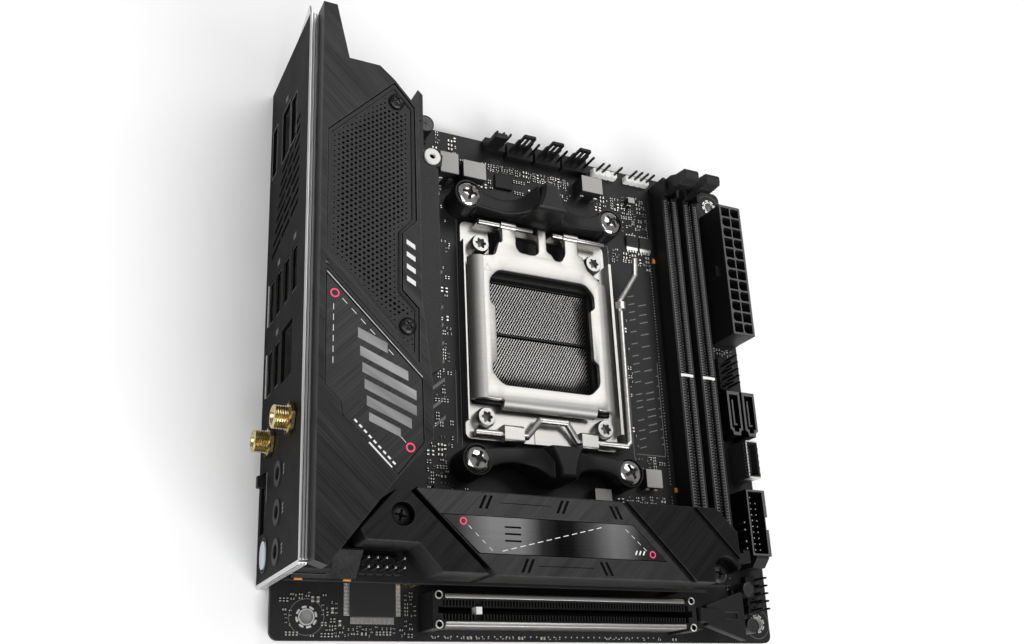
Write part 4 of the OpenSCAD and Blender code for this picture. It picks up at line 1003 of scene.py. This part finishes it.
make_power("main_power_socket", "main_power_header", 12, lambda p: (p[0] + 159.2, p[1] + 106, p[2]),
           (1, 0, 0, 1, 1, 0, 0, 1, 1, 0, 0, 1))
make_power("processor_power_socket", "cpu_power_header", 4, lambda p: (23 - p[1], p[0] + 159.6, p[2]),
           (0, 1, 0, 1))
make_pins("panel_pins", "panel_header", 160.4, 89.6, 2, 5, 2.5, 8.6, pin_mat=M_SCREW)
make_pins("usb2_pins", "usb2_header", 161.6, 10.4, 2, 5, 2.5, 8.6, pin_mat=M_SCREW)
make_pins("audio_pins", "audio_header", 21.2, 17.4, 5, 2, 2.5, 8.4, z=12.0)
make_fan_headers()
make_light_headers()

# ---------- small parts on the boards ----------

def smd(b, x, y, length, width, turned, z=0.0, h=0.45, body=None):
    """Chip resistor or capacitor: dark body between two bright ends."""
    l, w = (width, length) if turned else (length, width)
    e = 0.26
    if turned:
        cells = ((x, y, x + l, y + w * e), (x, y + w * e, x + l, y + w * (1 - e)),
                 (x, y + w * (1 - e), x + l, y + w))
    else:
        cells = ((x, y, x + l * e, y + w), (x + l * e, y, x + l * (1 - e), y + w),
                 (x + l * (1 - e), y, x + l, y + w))
    for k, (x0, y0, x1, y1) in enumerate(cells):
        m = M_TIN if k != 1 else (body or M_CHIP)
        b.box((x0, y0, z), (x1, y1, z + (h if k != 1 else h * 0.92)), m, 0.05)


def scatter(b, rng, x0, y0, x1, y1, n, z=0.0):
    """Small parts as a layout places them: short aligned runs at one pitch, none over another."""
    placed, tries = 0, 0
    while placed < n and tries < 40 * n:
        tries += 1
        turned = rng.random() < 0.5
        l, w = rng.choice(((1.0, 0.5), (1.0, 0.5), (0.6, 0.32), (0.6, 0.32), (1.6, 0.8)))
        x, y = rng.uniform(x0, x1 - 1), rng.uniform(y0, y1 - 1)
        body = M_BROWN if rng.random() < 0.35 else None
        for k in range(rng.randint(1, 5)):
            px, py = (x + k * w * 2.0, y) if turned else (x, y + k * w * 2.0)
            sx, sy = (w, l) if turned else (l, w)
            box = (px - 0.2, py - 0.2, px + sx + 0.2, py + sy + 0.2)
            if box[2] > x1 or box[3] > y1:
                break
            if any(box[0] < c and box[2] > a and box[1] < e and box[3] > d
                   for a, d, c, e in KEEP_OUT + TAKEN):
                continue
            TAKEN.append(box)
            smd(b, px, py, l, w, turned, z, body=body)
            placed += 1


FIXING_HOLES = ((10.16, 6.35), (165.1, 6.35), (33.02, 163.83), (165.1, 163.83))
TAKEN = []
KEEP_OUT = [(50, 150, 57, 158.2), (58.2, 150, 67, 156.8), (73, 152.4, 80, 158.2), (104.7, 155, 113.6, 161.8),
            (125.8, 156.2, 129.1, 159), (125, 138.8, 136, 144.8), (122.7, 49.4, 129.4, 56.2),
            (102.5, 41.2, 109.2, 48.2), (67, 164.2, 139, 170.2), (53.6, 137, 64.4, 147.8),
            (108, 137, 118.6, 147.8), (60, 137, 112, 150.4), (53.6, 47.4, 64.4, 58), (108, 47.4, 118.6, 58),
            (62, 44.8, 112, 58), (57, 60, 116.6, 137.8), (41, 162.6, 48.6, 170), (116.4, 60, 121.2, 124),
            (116, 112, 126, 132), (45.8, 85.8, 51.2, 111.2), (6.4, 2.6, 13.9, 10.1),
            (161.3, 2.6, 168.9, 10.1), (29.3, 160, 36.8, 167.6), (161.3, 160, 168.9, 167.6),
            (20.3, 4.3, 37.7, 21.1), (123.6, 62, 134.8, 127)]


def make_parts():
    b = Build()
    rng = random.Random(7)
    for x0, y0, x1, y1, n in ((45, 139, 60, 170, 60), (60, 151, 104, 162, 80), (67, 158.6, 103, 162, 46),
                              (113, 145, 135.5, 161, 90), (116, 131, 135, 139, 34), (45, 110, 56, 137, 40),
                              (45, 60, 56, 110, 60), (46, 44, 57, 60, 44), (56, 40, 102, 46.5, 70),
                              (109, 40, 134, 48, 46), (118, 56, 134, 62, 20), (154.4, 54, 160, 105, 46),
                              (156, 102, 168, 105.6, 12), (1.5, 1, 20, 13.5, 46), (15, 1, 42, 6, 40),
                              (37, 6.5, 42.6, 14, 14), (135, 17, 158, 23, 20), (45, 0.6, 132, 1.8, 26),
                              (121, 62, 125, 112, 14), (154.6, 88, 158.6, 104, 12)):
        scatter(b, rng, x0, y0, x1, y1, n)
    for x, y in ((136.2, 135.1), (136.5, 49.6)):
        b.box((x, y, 0), (x + 1.0, y + 1.6, 0.6), M_AMBER, 0.1)
    for x in (3.2, 16.6):
        b.box((x, 14.5, 12.0), (x + 2.2, 15.3, 12.5), M_AMBER, 0.1)
    b.make("surface_parts")


def make_chips():
    b = Build()
    # flat pack with leads on four sides
    b.prism(rounded(22.3, 6.4, 35.7, 19.0, 0.3, 1), 0.15, 1.4, M_CHIP, r=0.15, seg=1)
    for k in range(32):
        t = 6.9 + k * 0.38
        for x0, x1 in ((20.6, 22.4), (35.6, 37.4)):
            b.box((x0, t, 0.05), (x1, t + 0.22, 0.45), M_TIN, 0.05)
    for k in range(34):
        u = 22.6 + k * 0.38
        for y0, y1 in ((4.6, 6.5), (18.9, 20.8)):
            b.box((u, y0, 0.05), (u + 0.22, y1, 0.45), M_TIN, 0.05)
    b.prism(rounded(73.2, 152.6, 79.8, 158, 0.2, 1), 0, 1.0, M_CHIP, r=0.12, seg=1)
    for x0, x1 in ((125.2, 130.2), (130.8, 135.8)):
        b.prism(rounded(x0, 140.0, x1, 144.2, 0.2, 1), 0, 1.1, M_CHIP, r=0.12, seg=1)
        b.box((x0 + 0.1, 138.8, 0), (x1 - 0.1, 140.1, 0.5), M_TIN, 0.08)
        for k in range(4):
            b.box((x0 + 0.4 + k * 1.15, 144.1, 0), (x0 + 1.0 + k * 1.15, 145.0, 0.35), M_TIN, 0.05)
            b.box((x0 + 0.4 + k * 1.15, 138.0, 0), (x0 + 1.0 + k * 1.15, 138.9, 0.3), M_TIN, 0.05)
    b.prism(rounded(48, 38.8, 54, 46, 0.2, 1), 0, 1.1, M_CHIP, r=0.12, seg=1)
    for y in (86, 96, 106):
        b.prism(rounded(46, y, 51, y + 5, 0.2, 1), 0, 1, M_CHIP, r=0.12, seg=1)
    b.make("chip_set_faces", replaces=("chips",))


def make_chokes():
    b = Build()
    for x0, y0, x1, y1, h in ((50.2, 150.2, 56.8, 158, 7.2), (58.4, 150.2, 66.8, 156.6, 7.2),
                              (104.9, 155.2, 113.4, 161.6, 6), (126, 156.4, 128.9, 158.8, 3),
                              (122.9, 49.6, 129.2, 56, 4), (102.7, 41.4, 109, 48, 4)):
        b.prism(rounded(x0 + 0.1, y0 + 0.1, x1 - 0.1, y1 - 0.1, 0.3, 2), 0.3, h - 0.25, M_CHIP)
        b.prism(rounded(x0, y0, x1, y1, 0.3, 3), h - 0.5, h, M_CHOKE, r=0.12, seg=1, side=M_CHIP)
        b.box((x0 + 0.8, y0 - 0.25, 0), (x0 + 2.2, y0 + 0.6, h * 0.5), M_TIN, 0.1)
        b.box((x1 - 2.2, y0 - 0.25, 0), (x1 - 0.8, y0 + 0.6, h * 0.5), M_TIN, 0.1)
    b.make("choke_set", replaces=("chokes",))


def make_cans():
    b = Build()
    for x, y, r in ((44.9, 166.6, 3.1), (156.9, 16.6, 2.5), (156.9, 4.8, 2.5)):
        b.lathe((x, y, 0), [(0, 0.9), (r * 0.94, 0.9), (r, 1.3), (r, 2.0), (r * 0.9, 2.3), (r * 0.9, 2.6),
                            (r, 2.9), (r, 7.5), (r * 0.94, 7.95), (r * 0.84, 8.0), (r * 0.82, 7.85),
                            (0, 7.85)], M_CAN, 40)
        b.prism(rounded(x - r, y - r, x + r, y + r, r * 0.3, 2), 0, 1.1, M_BLACK)
        for a in (0.5, 0.5 + tau / 6, 0.5 + tau / 3):
            d = Vector((cos(a), sin(a))) * r * 0.6
            b.strip([(x - d.x, y - d.y), (x + d.x, y + d.y)], 0.14, 7.85, M_CHIP, 0.04)
    b.make("capacitor_set", replaces=("capacitors",))


def make_ink():
    """Printed lines and generic marks on the main board."""
    b = Build()
    z, thin = 0.0, 0.02
    b.strip([(40.6, 62), (40.6, 70)], 0.3, z, M_INK, thin)
    # outlines round the socket and between groups
    for path in (((58.4, 59), (58.4, 138.4)), ((117.4, 131), (117.4, 138.4), (112, 138.4)),
                 ((121.6, 59.5), (121.6, 112)), ((134.2, 96), (134.2, 62), (122.6, 62)),
                 ((56.8, 60), (56.8, 84))):
        b.strip(path, 0.2, z, M_INK, thin)
    # slanted bars in place of printed words
    rng = random.Random(3)
    for x, w, y0, y1 in ((124.2, 2.6, 64, 126), (128.4, 3.4, 70, 118), (133.2, 1.0, 66, 92)):
        y = y0
        while y < y1:
            step = rng.choice((1.5, 2.1, 2.8, 3.6))
            b.patch([(x, y), (x + w, y + w * 0.3), (x + w, y + w * 0.3 + 0.34), (x, y + 0.34)], z, M_INK,
                    thin)
            y += step + 0.9
    for k in range(9):
        y = 62 + k * 6.2
        b.patch([(46.5, y), (53.0, y + 5.4), (53.0, y + 6.6), (46.5, y + 1.2)], z, M_INK, thin)
    # row of plated holes beside the memory slots
    for i in range(118):
        y = 26 + i * 1.1
        if abs(y - 135.8) > 1.4 and abs(y - 50.4) > 1.4:
            b.prism(ring(135.2, y, 0.22, 8), z, z + 0.05, M_TIN)
    for x, y in FIXING_HOLES:
        b.prism(ring(x, y, 5.0, 48), z, z + thin, M_INK, holes=[ring(x, y, 4.88, 48)])
        for k in range(8):
            a0 = tau * k / 8
            outer = [(x + 3.05 * cos(a0 + t * 0.1), y + 3.05 * sin(a0 + t * 0.1)) for t in range(6)]
            inner = [(x + 2.5 * cos(a0 + t * 0.1), y + 2.5 * sin(a0 + t * 0.1)) for t in range(5, -1, -1)]
            b.prism(outer + inner, z, z + 0.05, M_TIN)
        # plated rim and wall of the hole
        b.prism(ring(x, y, 2.28, 40), -0.02, 0.05, M_TIN, holes=[ring(x, y, 1.93, 40)])
        b.prism(ring(x, y, 1.975, 40), -1.58, 0.05, M_TIN, holes=[ring(x, y, 1.9, 40)])
    # solder tails of the slots
    for i in range(40):
        b.prism(ring(47 + i * 2, 1.4, 0.24, 8), z, z + 0.06, M_TIN)
    b.make("board_print")


make_parts()
make_chips()
make_chokes()
make_cans()
make_ink()

# ---------- drive stack over the near edge ----------

DRIVE_TOP = (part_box("drive_heatsink")[1].z - PCB_HIGH.z) / MM
DRIVE_Z = (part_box("drive_heatsink")[0].z - PCB_HIGH.z) / MM


def make_drive():
    b = Build()
    end = (130.4, 18)
    recess = [(134.8, 18.6)] + arc(*end, 4.4, 0, 180) + [(126, 14.4)]
    floor, end_seat, seat = DRIVE_TOP - 1.0, DRIVE_Z + 8.5, DRIVE_Z + 10.2
    b.prism([(30.6, 36.4), (30.9, 37.1), (128.8, 37.2), (136, 30.2), (136, 19.4)] + recess + [(53.4, 14.4)],
            DRIVE_Z, floor, M_DRIVE)
    strip = [(37.6, 30.35), (98.2, 30.35), (109.0, 20.05), (48.3, 20.05)]
    # the left top face uses the lighter copy of the drive metal: painted highlight
    b.prism([(30.6, 36.4), (30.9, 37.1), (94.8, 37.2), (117.04, 14.4), (53.4, 14.4)], floor, DRIVE_TOP,
            M_DRIVE_PAINTED_HIGHLIGHT, r=0.35, seg=2, holes=[strip], hole_r=0.12, side=M_DRIVE)
    b.prism([(96.8, 37.2), (119.2, 37.2), (136, 20.0), (136, 19.4)] + recess + [(119.0, 14.4)], floor,
            DRIVE_TOP, M_DRIVE, r=0.35, seg=2)
    b.prism([(121.2, 37.2), (128.8, 37.2), (136, 30.2), (136, 22.0)], floor, DRIVE_TOP, M_DRIVE, r=0.35,
            seg=2)
    b.prism([(126.1, 14.5), (134.7, 14.5), (134.7, 22.0), (126.1, 22.0)], DRIVE_Z, end_seat, M_DRIVE,
            holes=[ring(*end, 1.55, 20)])
    # pairs of slanted bars and two rules in place of printed words
    z = DRIVE_TOP
    for x, y, s in ((50.5, 34.2, 1), (74.5, 34.2, 1), (93.0, 33.6, -1), (62.6, 17.2, 1), (88.5, 17.2, -1)):
        b.patch([(x - 1.8 * s, y - 1.9), (x - 0.9 * s, y - 1.9), (x + 0.9 * s, y + 1.9), (x, y + 1.9)], z,
                M_VOID, 0.012)
        b.patch([(x, y - 1.9), (x + 0.9 * s, y - 1.9), (x + 2.7 * s, y + 1.9), (x + 1.8 * s, y + 1.9)], z,
                M_VOID, 0.012)
    for x0, x1, y in ((55, 71, 34.2), (66, 84, 17.2)):
        b.strip([(x0, y), (x1, y)], 0.18, z, M_VOID, 0.012)
    b.make("drive_heatsink_block", replaces=("drive_heatsink",), angle=30)

    b = Build()
    z = DRIVE_TOP - 0.06
    # the strip's foil carries painted reflection in its colour
    b.prism([(37.9, 30.2), (98.1, 30.2), (108.7, 20.2), (48.7, 20.2)], z - 0.6, z, M_FOIL_PAINTED_REFLECTION)
    for x, y in ((44.1, 28.6), (104.1, 21.9)):
        b.prism(ring(x, y, 1.05, 28), z, z + 0.04, M_PINK, holes=[ring(x, y, 0.7, 28)])
    for k in range(4):
        b.strip([(45.6 + k * 2.0, 27.5 - k * 1.9), (46.5 + k * 2.0, 26.6 - k * 1.9)], 0.14, z, M_PRINT, 0.02)
        b.strip([(95.4 + k * 1.9, 28.9 - k * 1.7), (96.4 + k * 1.9, 28.0 - k * 1.7)], 0.14, z, M_PRINT, 0.02)
    for k in range(12):
        x, y = 55.4 + k * 2.75, 20.9 + k * 0.7
        b.strip([(x, y), (x + 1.7, y + 0.43)], 0.22, z, M_PRINT, 0.02)
    b.strip([(74.6, 25.3), (79.8, 20.3)], 0.1, z, M_VOID, 0.02)
    for k in range(3):
        b.strip([(56.4, 27.6 - k * 1.9), (61.4, 27.6 - k * 1.9)], 0.5, z, M_VOID, 0.02)
    for k in range(3):
        b.strip([(98.2 + k * 1.3, 21.6), (98.8 + k * 1.3, 22.8)], 0.45, z, M_PRINT, 0.02)
    b.make("drive_trim_strip", replaces=("trim_strip",))

    b = Build()
    side = (26.9, 29.6)
    outline = soften([(24.6, 36), (29.2, 36), (51.6, 14.5), (38, 14.6), (31.4, 22), (22.9, 22.2),
                      (16.9, 22.2), (15, 25.2)], 0.5)
    b.prism(outline, DRIVE_Z, DRIVE_TOP, M_DRIVE, r=0.35, seg=2, holes=[ring(*side, 3.2, 40)], hole_r=0.15)
    b.prism(ring(*side, 3.25, 40), DRIVE_Z, seat, M_DRIVE, holes=[ring(*side, 1.55, 20)])
    b.make("drive_side_block", replaces=("drive_side_plate",), angle=30)
    b = Build()
    for (x, y), z in ((side, seat), (end, end_seat)):
        b.lathe((x, y, 0), [(0, 12.5), (1.5, 12.5), (1.5, z), (2.9, z), (2.9, z + 0.4)], M_OXIDE, 24)
        driven_head(b, (x, y, z + 0.38), 2.95, 1.2, M_OXIDE, "cross", turn=0.2)
    b.make("drive_screw_set", replaces=("drive_screws",), angle=24)


make_drive()

# ---------- rear panel ----------

PANEL_X = (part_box("port_panel")[0].x - PCB_LOW.x) / MM
RIM_TOP = (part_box("port_panel_rim")[1].z - PCB_HIGH.z) / MM


def rect_frame(b, y0, z0, y1, z1, x, w, m, depth=0.05):
    """Thin upright rectangle outline in the panel's plane, standing depth proud of x."""
    b.map = lambda p: (x - p[2], p[0], p[1])
    b.prism([(y0 - w, z0 - w), (y1 + w, z0 - w), (y1 + w, z1 + w), (y0 - w, z1 + w)], 0, depth, m,
            holes=[[(y0, z0), (y1, z0), (y1, z1), (y0, z1)]])
    b.map = lambda p: p


def make_panel_detail():
    b = Build()
    usb = ((89.4, 26, 103, 31.4), (89.4, 17.4, 103, 22.8), (89.4, 8.8, 103, 14.2), (89.4, 0.6, 103, 6),
           (67.4, 8.8, 81, 14.2), (67.4, 0.6, 81, 6))
    for y0, z0, y1, z1 in usb:
        # folded metal lip
        rect_frame(b, y0 + 0.45, z0 + 0.45, y1 - 0.45, z1 - 0.45, PANEL_X + 0.45, 0.3, M_SCREW, 0.3)
    for y0, z0, y1, z1 in (usb[3], usb[5]):
        b.box((PANEL_X - 0.25, y0 + 0.2, z0 - 0.5), (PANEL_X + 0.6, y1 - 0.2, z0 + 0.25), M_TIN, 0.05)
    rect_frame(b, 139.4, -1.1, 156.2, 4.4, PANEL_X, 0.16, M_TRACE)
    rect_frame(b, 138.8, 21, 153.8, 26.8, PANEL_X, 0.12, M_TRACE)
    rect_frame(b, 138.4, 10.8, 155.6, 19.4, PANEL_X, 0.12, M_TRACE)
    rect_frame(b, 36.4, 5.0, 44.6, 5.2, PANEL_X, 0.1, M_TRACE)
    # rings of the three round jacks
    b.map = lambda p: (PANEL_X - p[2], p[0], p[1])
    for y, z in ((41.4, 17.6), (31, 17.6), (20.6, 17.6)):
        b.prism(ring(y, z, 3.6, 40), -0.6, 0.35, M_BLACK, r=0.3, seg=3, holes=[ring(y, z, 1.85, 28)],
                hole_r=0.3)
        for k in range(3):
            b.patch([(y - 1.5 + k, z + 5.2), (y - 1.0 + k, z + 5.2), (y - 0.6 + k, z + 6.2),
                     (y - 1.1 + k, z + 6.2)], 0, M_TRACE, 0.03)
    # slanted marks printed beside the port groups
    for y, z in ((105.0, 27.5), (105.0, 10.0), (83.0, 10.5), (157.6, 14.0)):
        for k in range(3):
            b.patch([(y, z + k * 0.9), (y + 1.6, z + k * 0.9), (y + 1.9, z + 0.4 + k * 0.9),
                     (y + 0.3, z + 0.4 + k * 0.9)], 0, M_TRACE, 0.03)
    # cross ties of the broken vent slots
    for k in range(9):
        for t in (0.36 + 0.05 * (k % 2), 0.7 - 0.05 * (k % 2)):
            z = (2 + k * 1.4) * (1 - t) + 31 * t
            y = 110.5 + k * 3.4 + 5.0 * t
            b.patch([(y - 0.9, z - 0.7), (y + 1.7, z - 0.7), (y + 1.9, z + 0.7), (y - 0.7, z + 0.7)], -0.55,
                    M_PANEL, 0.5)
    # bezel of the oval button
    def oval(cy, cz, w, h, n=10):
        r = h / 2
        return arc(cy + w / 2 - r, cz, r, -90, 90, n) + arc(cy - w / 2 + r, cz, r, 90, 270, n)
    b.prism(oval(21.9, 4.4, 9.9, 7.9), -0.4, 0.3, M_BLACK, r=0.2, seg=2, holes=[oval(21.9, 4.4, 8.3, 6.6)])
    b.map = lambda p: p
    b.make("rear_panel_detail")


def make_antennas():
    b = Build()
    for y, z in ((52.8, 30.6), (52.3, 9)):
        prof = [(1.9, -4.6), (1.95, -8.0), (2.25, -8.4), (2.75, -8.4), (3.05, -8.15)]
        x = -8.15
        while x < -5.0:
            prof += [(3.12, x + 0.08), (2.66, x + 0.28), (2.66, x + 0.36), (3.12, x + 0.56)]
            x += 0.62
        prof += [(3.1, -4.4), (3.1, -1.2)]
        b.lathe((0, y, z), prof, M_GOLD, 40, "x")
        b.lathe((0, y, z), [(0, -4.6), (1.9, -4.6)], M_WHITE, 32, "x")
        b.lathe((0, y, z), [(0, -6.9), (0.4, -6.8), (0.55, -6.4), (0.55, -4.6)], M_GOLD, 20, "x")
        b.map = lambda p, y=y, z=z: (p[2], y + p[0], z + p[1])
        b.prism(ring(0, 0, 4.4, 6, 0.4), -4.3, -3.2, M_GOLD, holes=[ring(0, 0, 3.12, 28)], r=0.12, seg=1)
        for k in range(4):
            a = tau * k / 4 + 0.5
            b.prism(ring(3.9 * cos(a), 3.9 * sin(a), 0.6, 12), -4.5, -4.2, M_BLACK)
        b.map = lambda p: p
        b.box((-1.9, y - 4, z - 4), (4, y + 4, z + 4), M_GOLD, 0.2)
    b.make("antenna_jack_pair", replaces=("antenna_jacks",), angle=40)


def make_rim_lines():
    b = Build()
    # near-black strips in the rim's grooves and a near-black slab over the gap at the cover's wall: painted
    # shade
    for k in range(3):
        x = PANEL_X + 0.7 + k * 0.8 - (0 if k < 2 else 0.1)
        b.strip([(x, 15.4), (x, 171.6)], 0.18 if k < 2 else 0.3, RIM_TOP - 0.3, M_VOID, 0.05)
    b.box((-0.75, 15.2, 38.9), (-0.1, 171.6, RIM_TOP - 1.0), M_VOID, 0.05)
    b.make("rim_groove_painted_shade")


make_panel_detail()
make_antennas()
make_rim_lines()

# ---------- right-hand headers ----------

def make_sata(name, node, x):
    b = Build()
    b.map = lambda p: (x + p[0], 85.8 - p[1], p[2])
    shell = [(0, 0), (5.6, 0), (5.6, 14.0), (4.6, 14.8), (4.4, 16.2), (1.2, 16.2), (1.0, 14.8), (0, 14.0)]
    cavity_line = [(1.0, 1.4), (4.6, 1.4), (4.6, 13.4), (3.8, 13.6), (3.6, 14.9), (1.9, 14.9), (1.8, 13.6),
                   (1.0, 13.4)]
    # top faces lighter grey than the walls: painted highlight
    b.prism(shell, 0, 8.5, M_HEADER_TOP_PAINTED_HIGHLIGHT, holes=[cavity_line], r=0.12, seg=1, side=M_VOID)
    b.prism(offset(cavity_line, 0.05), 0.5, 2.0, M_VOID)
    b.prism([(2.2, 3), (2.9, 3), (2.9, 11.7), (3.7, 11.7), (3.7, 12.4), (2.2, 12.4)], 2, 8.0, M_HEADER_TOP_PAINTED_HIGHLIGHT, r=0.08,
            seg=1, side=M_BLACK)
    for k in range(7):
        b.box((2.88, 3.8 + k * 1.1, 3), (3.02, 4.3 + k * 1.1, 7.6), M_GOLD, 0.03)
    b.make(name, replaces=(node,))


def make_usb_c():
    b = Build()
    b.map = lambda p: (161 + p[0], 54.4 + p[1], p[2])
    b.prism([(0.15, 0.15), (5.05, 0.15), (5.05, 13.05), (0.15, 13.05)], 0, 9.7, M_BLACK, side=M_CHIP,
            holes=[rounded(0.9, 0.9, 4.3, 12.3, 0.4, 2)])
    b.box((0.6, 0.6, 0.4), (4.6, 12.6, 1.6), M_VOID)
    for y0, y1 in ((0.0, 0.45), (12.75, 13.2)):
        b.box((0.3, y0, 6.5), (5.1, y1, 10), M_TIN, 0.08)
    for k in range(11):
        b.box((0.0, 0.9 + k * 1.08, 8.4), (0.5, 1.5 + k * 1.08, 10), M_TIN, 0.08)
        if k < 5:
            b.box((4.75, 0.9 + k * 2.3, 7.6), (5.5, 1.9 + k * 2.3, 9.4), M_BLACK, 0.08)
    b.box((0.0, 0.4, 9.0), (0.22, 12.8, 9.9), M_TIN, 0.04)
    b.box((2.1, 2, 1.5), (3.1, 11.2, 8), M_BLACK, 0.1)
    for k in range(8):
        b.box((2.0, 2.6 + k * 1.05, 2), (2.12, 3.0 + k * 1.05, 7.6), M_GOLD)
    b.make("usb_c_socket", replaces=("usb_c_header",))


def make_usb3():
    b = Build()
    outline = [(159, 27.6), (167, 27.6), (167, 36.6), (166.1, 36.6), (166.1, 41), (167, 41), (167, 50.2),
               (159, 50.2)]
    # top face lighter grey than the walls: painted highlight
    b.prism(outline, 0, 9.5, M_HEADER_TOP_PAINTED_HIGHLIGHT, holes=[rounded(159.8, 28.4, 165.6, 49.4, 0.3, 2)], r=0.12, seg=1,
            side=M_VOID)
    b.box((159.5, 28, 0.4), (166, 49.8, 2.0), M_VOID)
    for i in range(10):
        for j in (0, 1):
            if i + j * 10 != 19:
                x, y = 161.7 + j * 2, 29.7 + i * 2
                pin(b, x + 0.25, y + 0.25, 2, 7.4, M_BLACK, 0.26)
                b.box((x + 0.08, y + 0.08, 7.4), (x + 0.42, y + 0.42, 7.5), M_TIN)
    for y in (30.2, 32.6, 36.6, 39):
        b.box((157.9, y - 0.3, 0), (158.5, y + 0.3, 7.7), M_BLACK)
        b.box((157.95, y - 0.25, 7.7), (158.45, y + 0.25, 8.0), M_TIN)
    b.map = lambda p: (p[2], p[0], p[1])
    b.prism([(27.65, 0), (27.65, 9.5), (26.8, 9.5), (24.6, 7.4), (24.0, 6.8), (24.0, 0)], 160.4, 165.8,
            M_BLACK, r=0.25, seg=1)
    b.make("usb3_socket", replaces=("usb3_header",))


def make_card_latch():
    b = Build()
    b.prism(soften([(137.4, CARD_Y - 3.2), (151.8, CARD_Y - 7.8), (152.3, CARD_Y - 7.2),
                    (152.3, CARD_Y + 7.2), (151.8, CARD_Y + 7.8),
                    (137.4, CARD_Y + 3.2)], 0.4), 7.4, 9.8, M_BLACK, r=0.3, seg=2,
                    holes=[rounded(140.5, CARD_Y - 0.9, 149.5, CARD_Y + 0.9, 0.3, 2)])
    b.map = lambda p: (p[0], CARD_Y + p[2], p[1])
    b.prism(soften([(133, 2.6), (141, 2.6), (150.6, 5), (151.8, 7.6), (150, 9.2), (137, 10.6), (133.6, 12),
                    (133, 11)], 0.4), -2.2, 2.2, M_BLACK, r=0.25, seg=2)
    for k in range(3):
        b.prism([(151.6, 8.0), (152.5, 8.4), (152.5, 9.0), (151.6, 9.2)], -5.5 + k * 4, -3.5 + k * 4, M_BLACK)
    b.map = lambda p: p
    b.lathe((134.6, CARD_Y - 4.0, 4.0), [(0, 0), (1.0, 0), (1.0, 8.0), (0, 8.0)], M_BLACK, 24, "y")
    b.make("card_latch_lever", body="card_latch_arm", replaces=("card_latch",),
           angle=40)


make_sata("sata_socket_near", "sata_port_a", 156.4)
make_sata("sata_socket_far", "sata_port_b", 162.9)
make_usb_c()
make_usb3()
make_card_latch()

# ---------- floor, light and camera ----------

def make_stage():
    bm = bmesh.new()
    bmesh.ops.create_grid(bm, x_segments=2, y_segments=2, size=3.0)
    me = bpy.data.meshes.new("floor")
    bm.to_mesh(me)
    ob = bpy.data.objects.new("floor", me)
    bpy.context.collection.objects.link(ob)
    ob.location.z = CAD_LOW.z - 0.00005
    s = Shade("floor_paper")
    n = s.noise(40.0)
    s.link(s.mix(n, 0.86, 0.9), s.bsdf.inputs["Base Color"])
    s.bsdf.inputs["Roughness"].default_value = 0.9
    me.materials.append(s.m)
    world = bpy.data.worlds.new("studio")
    world.use_nodes = True
    world.node_tree.nodes["Background"].inputs[0].default_value = (1, 1, 1, 1)
    world.node_tree.nodes["Background"].inputs[1].default_value = 0.3
    bpy.context.scene.world = world
    bpy.context.scene.view_settings.view_transform = "Standard"


def lamp(name, place, aim, size, power):
    data = bpy.data.lights.new(name, "AREA")
    data.shape = "RECTANGLE"
    data.size, data.size_y = size
    data.energy = power
    ob = bpy.data.objects.new(name, data)
    bpy.context.collection.objects.link(ob)
    ob.location = place
    ob.rotation_euler = (Vector(aim) - Vector(place)).to_track_quat("-Z", "Y").to_euler()


make_stage()
lamp("key", (0.38, 0.6, 0.85), (0.07, 0.08, 0), (0.8, 0.6), 4.0)
lamp("fill_left", (-0.8, -0.5, 1.15), (0.05, 0.08, 0), (1.2, 1.0), 9.5)
lamp("fill_front", (0.45, -1.2, 1.0), (0.07, 0.08, 0), (1.4, 0.8), 24)

# the camera solved from the photograph
CAMERA_PLACE = (-67.46, -27.87, 279.35)
cam = bpy.data.objects.new("camera", bpy.data.cameras.new("camera"))
bpy.context.collection.objects.link(cam)
cam.data.sensor_width = 36.0
cam.data.lens = 36.16
cam.data.shift_x = 0.0163
cam.data.shift_y = 0.0753
cam.data.clip_start = 0.01
right = Vector((0.90166, -0.03772, 0.43080)).normalized()
forward = Vector((0.41979, 0.31563, -0.85097)).normalized()
up = right.cross(forward).normalized()
right = forward.cross(up).normalized()
turn = Matrix((right, up, -forward)).transposed().to_4x4()
cam.matrix_world = Matrix.Translation(at(*CAMERA_PLACE)) @ turn
bpy.context.scene.camera = cam
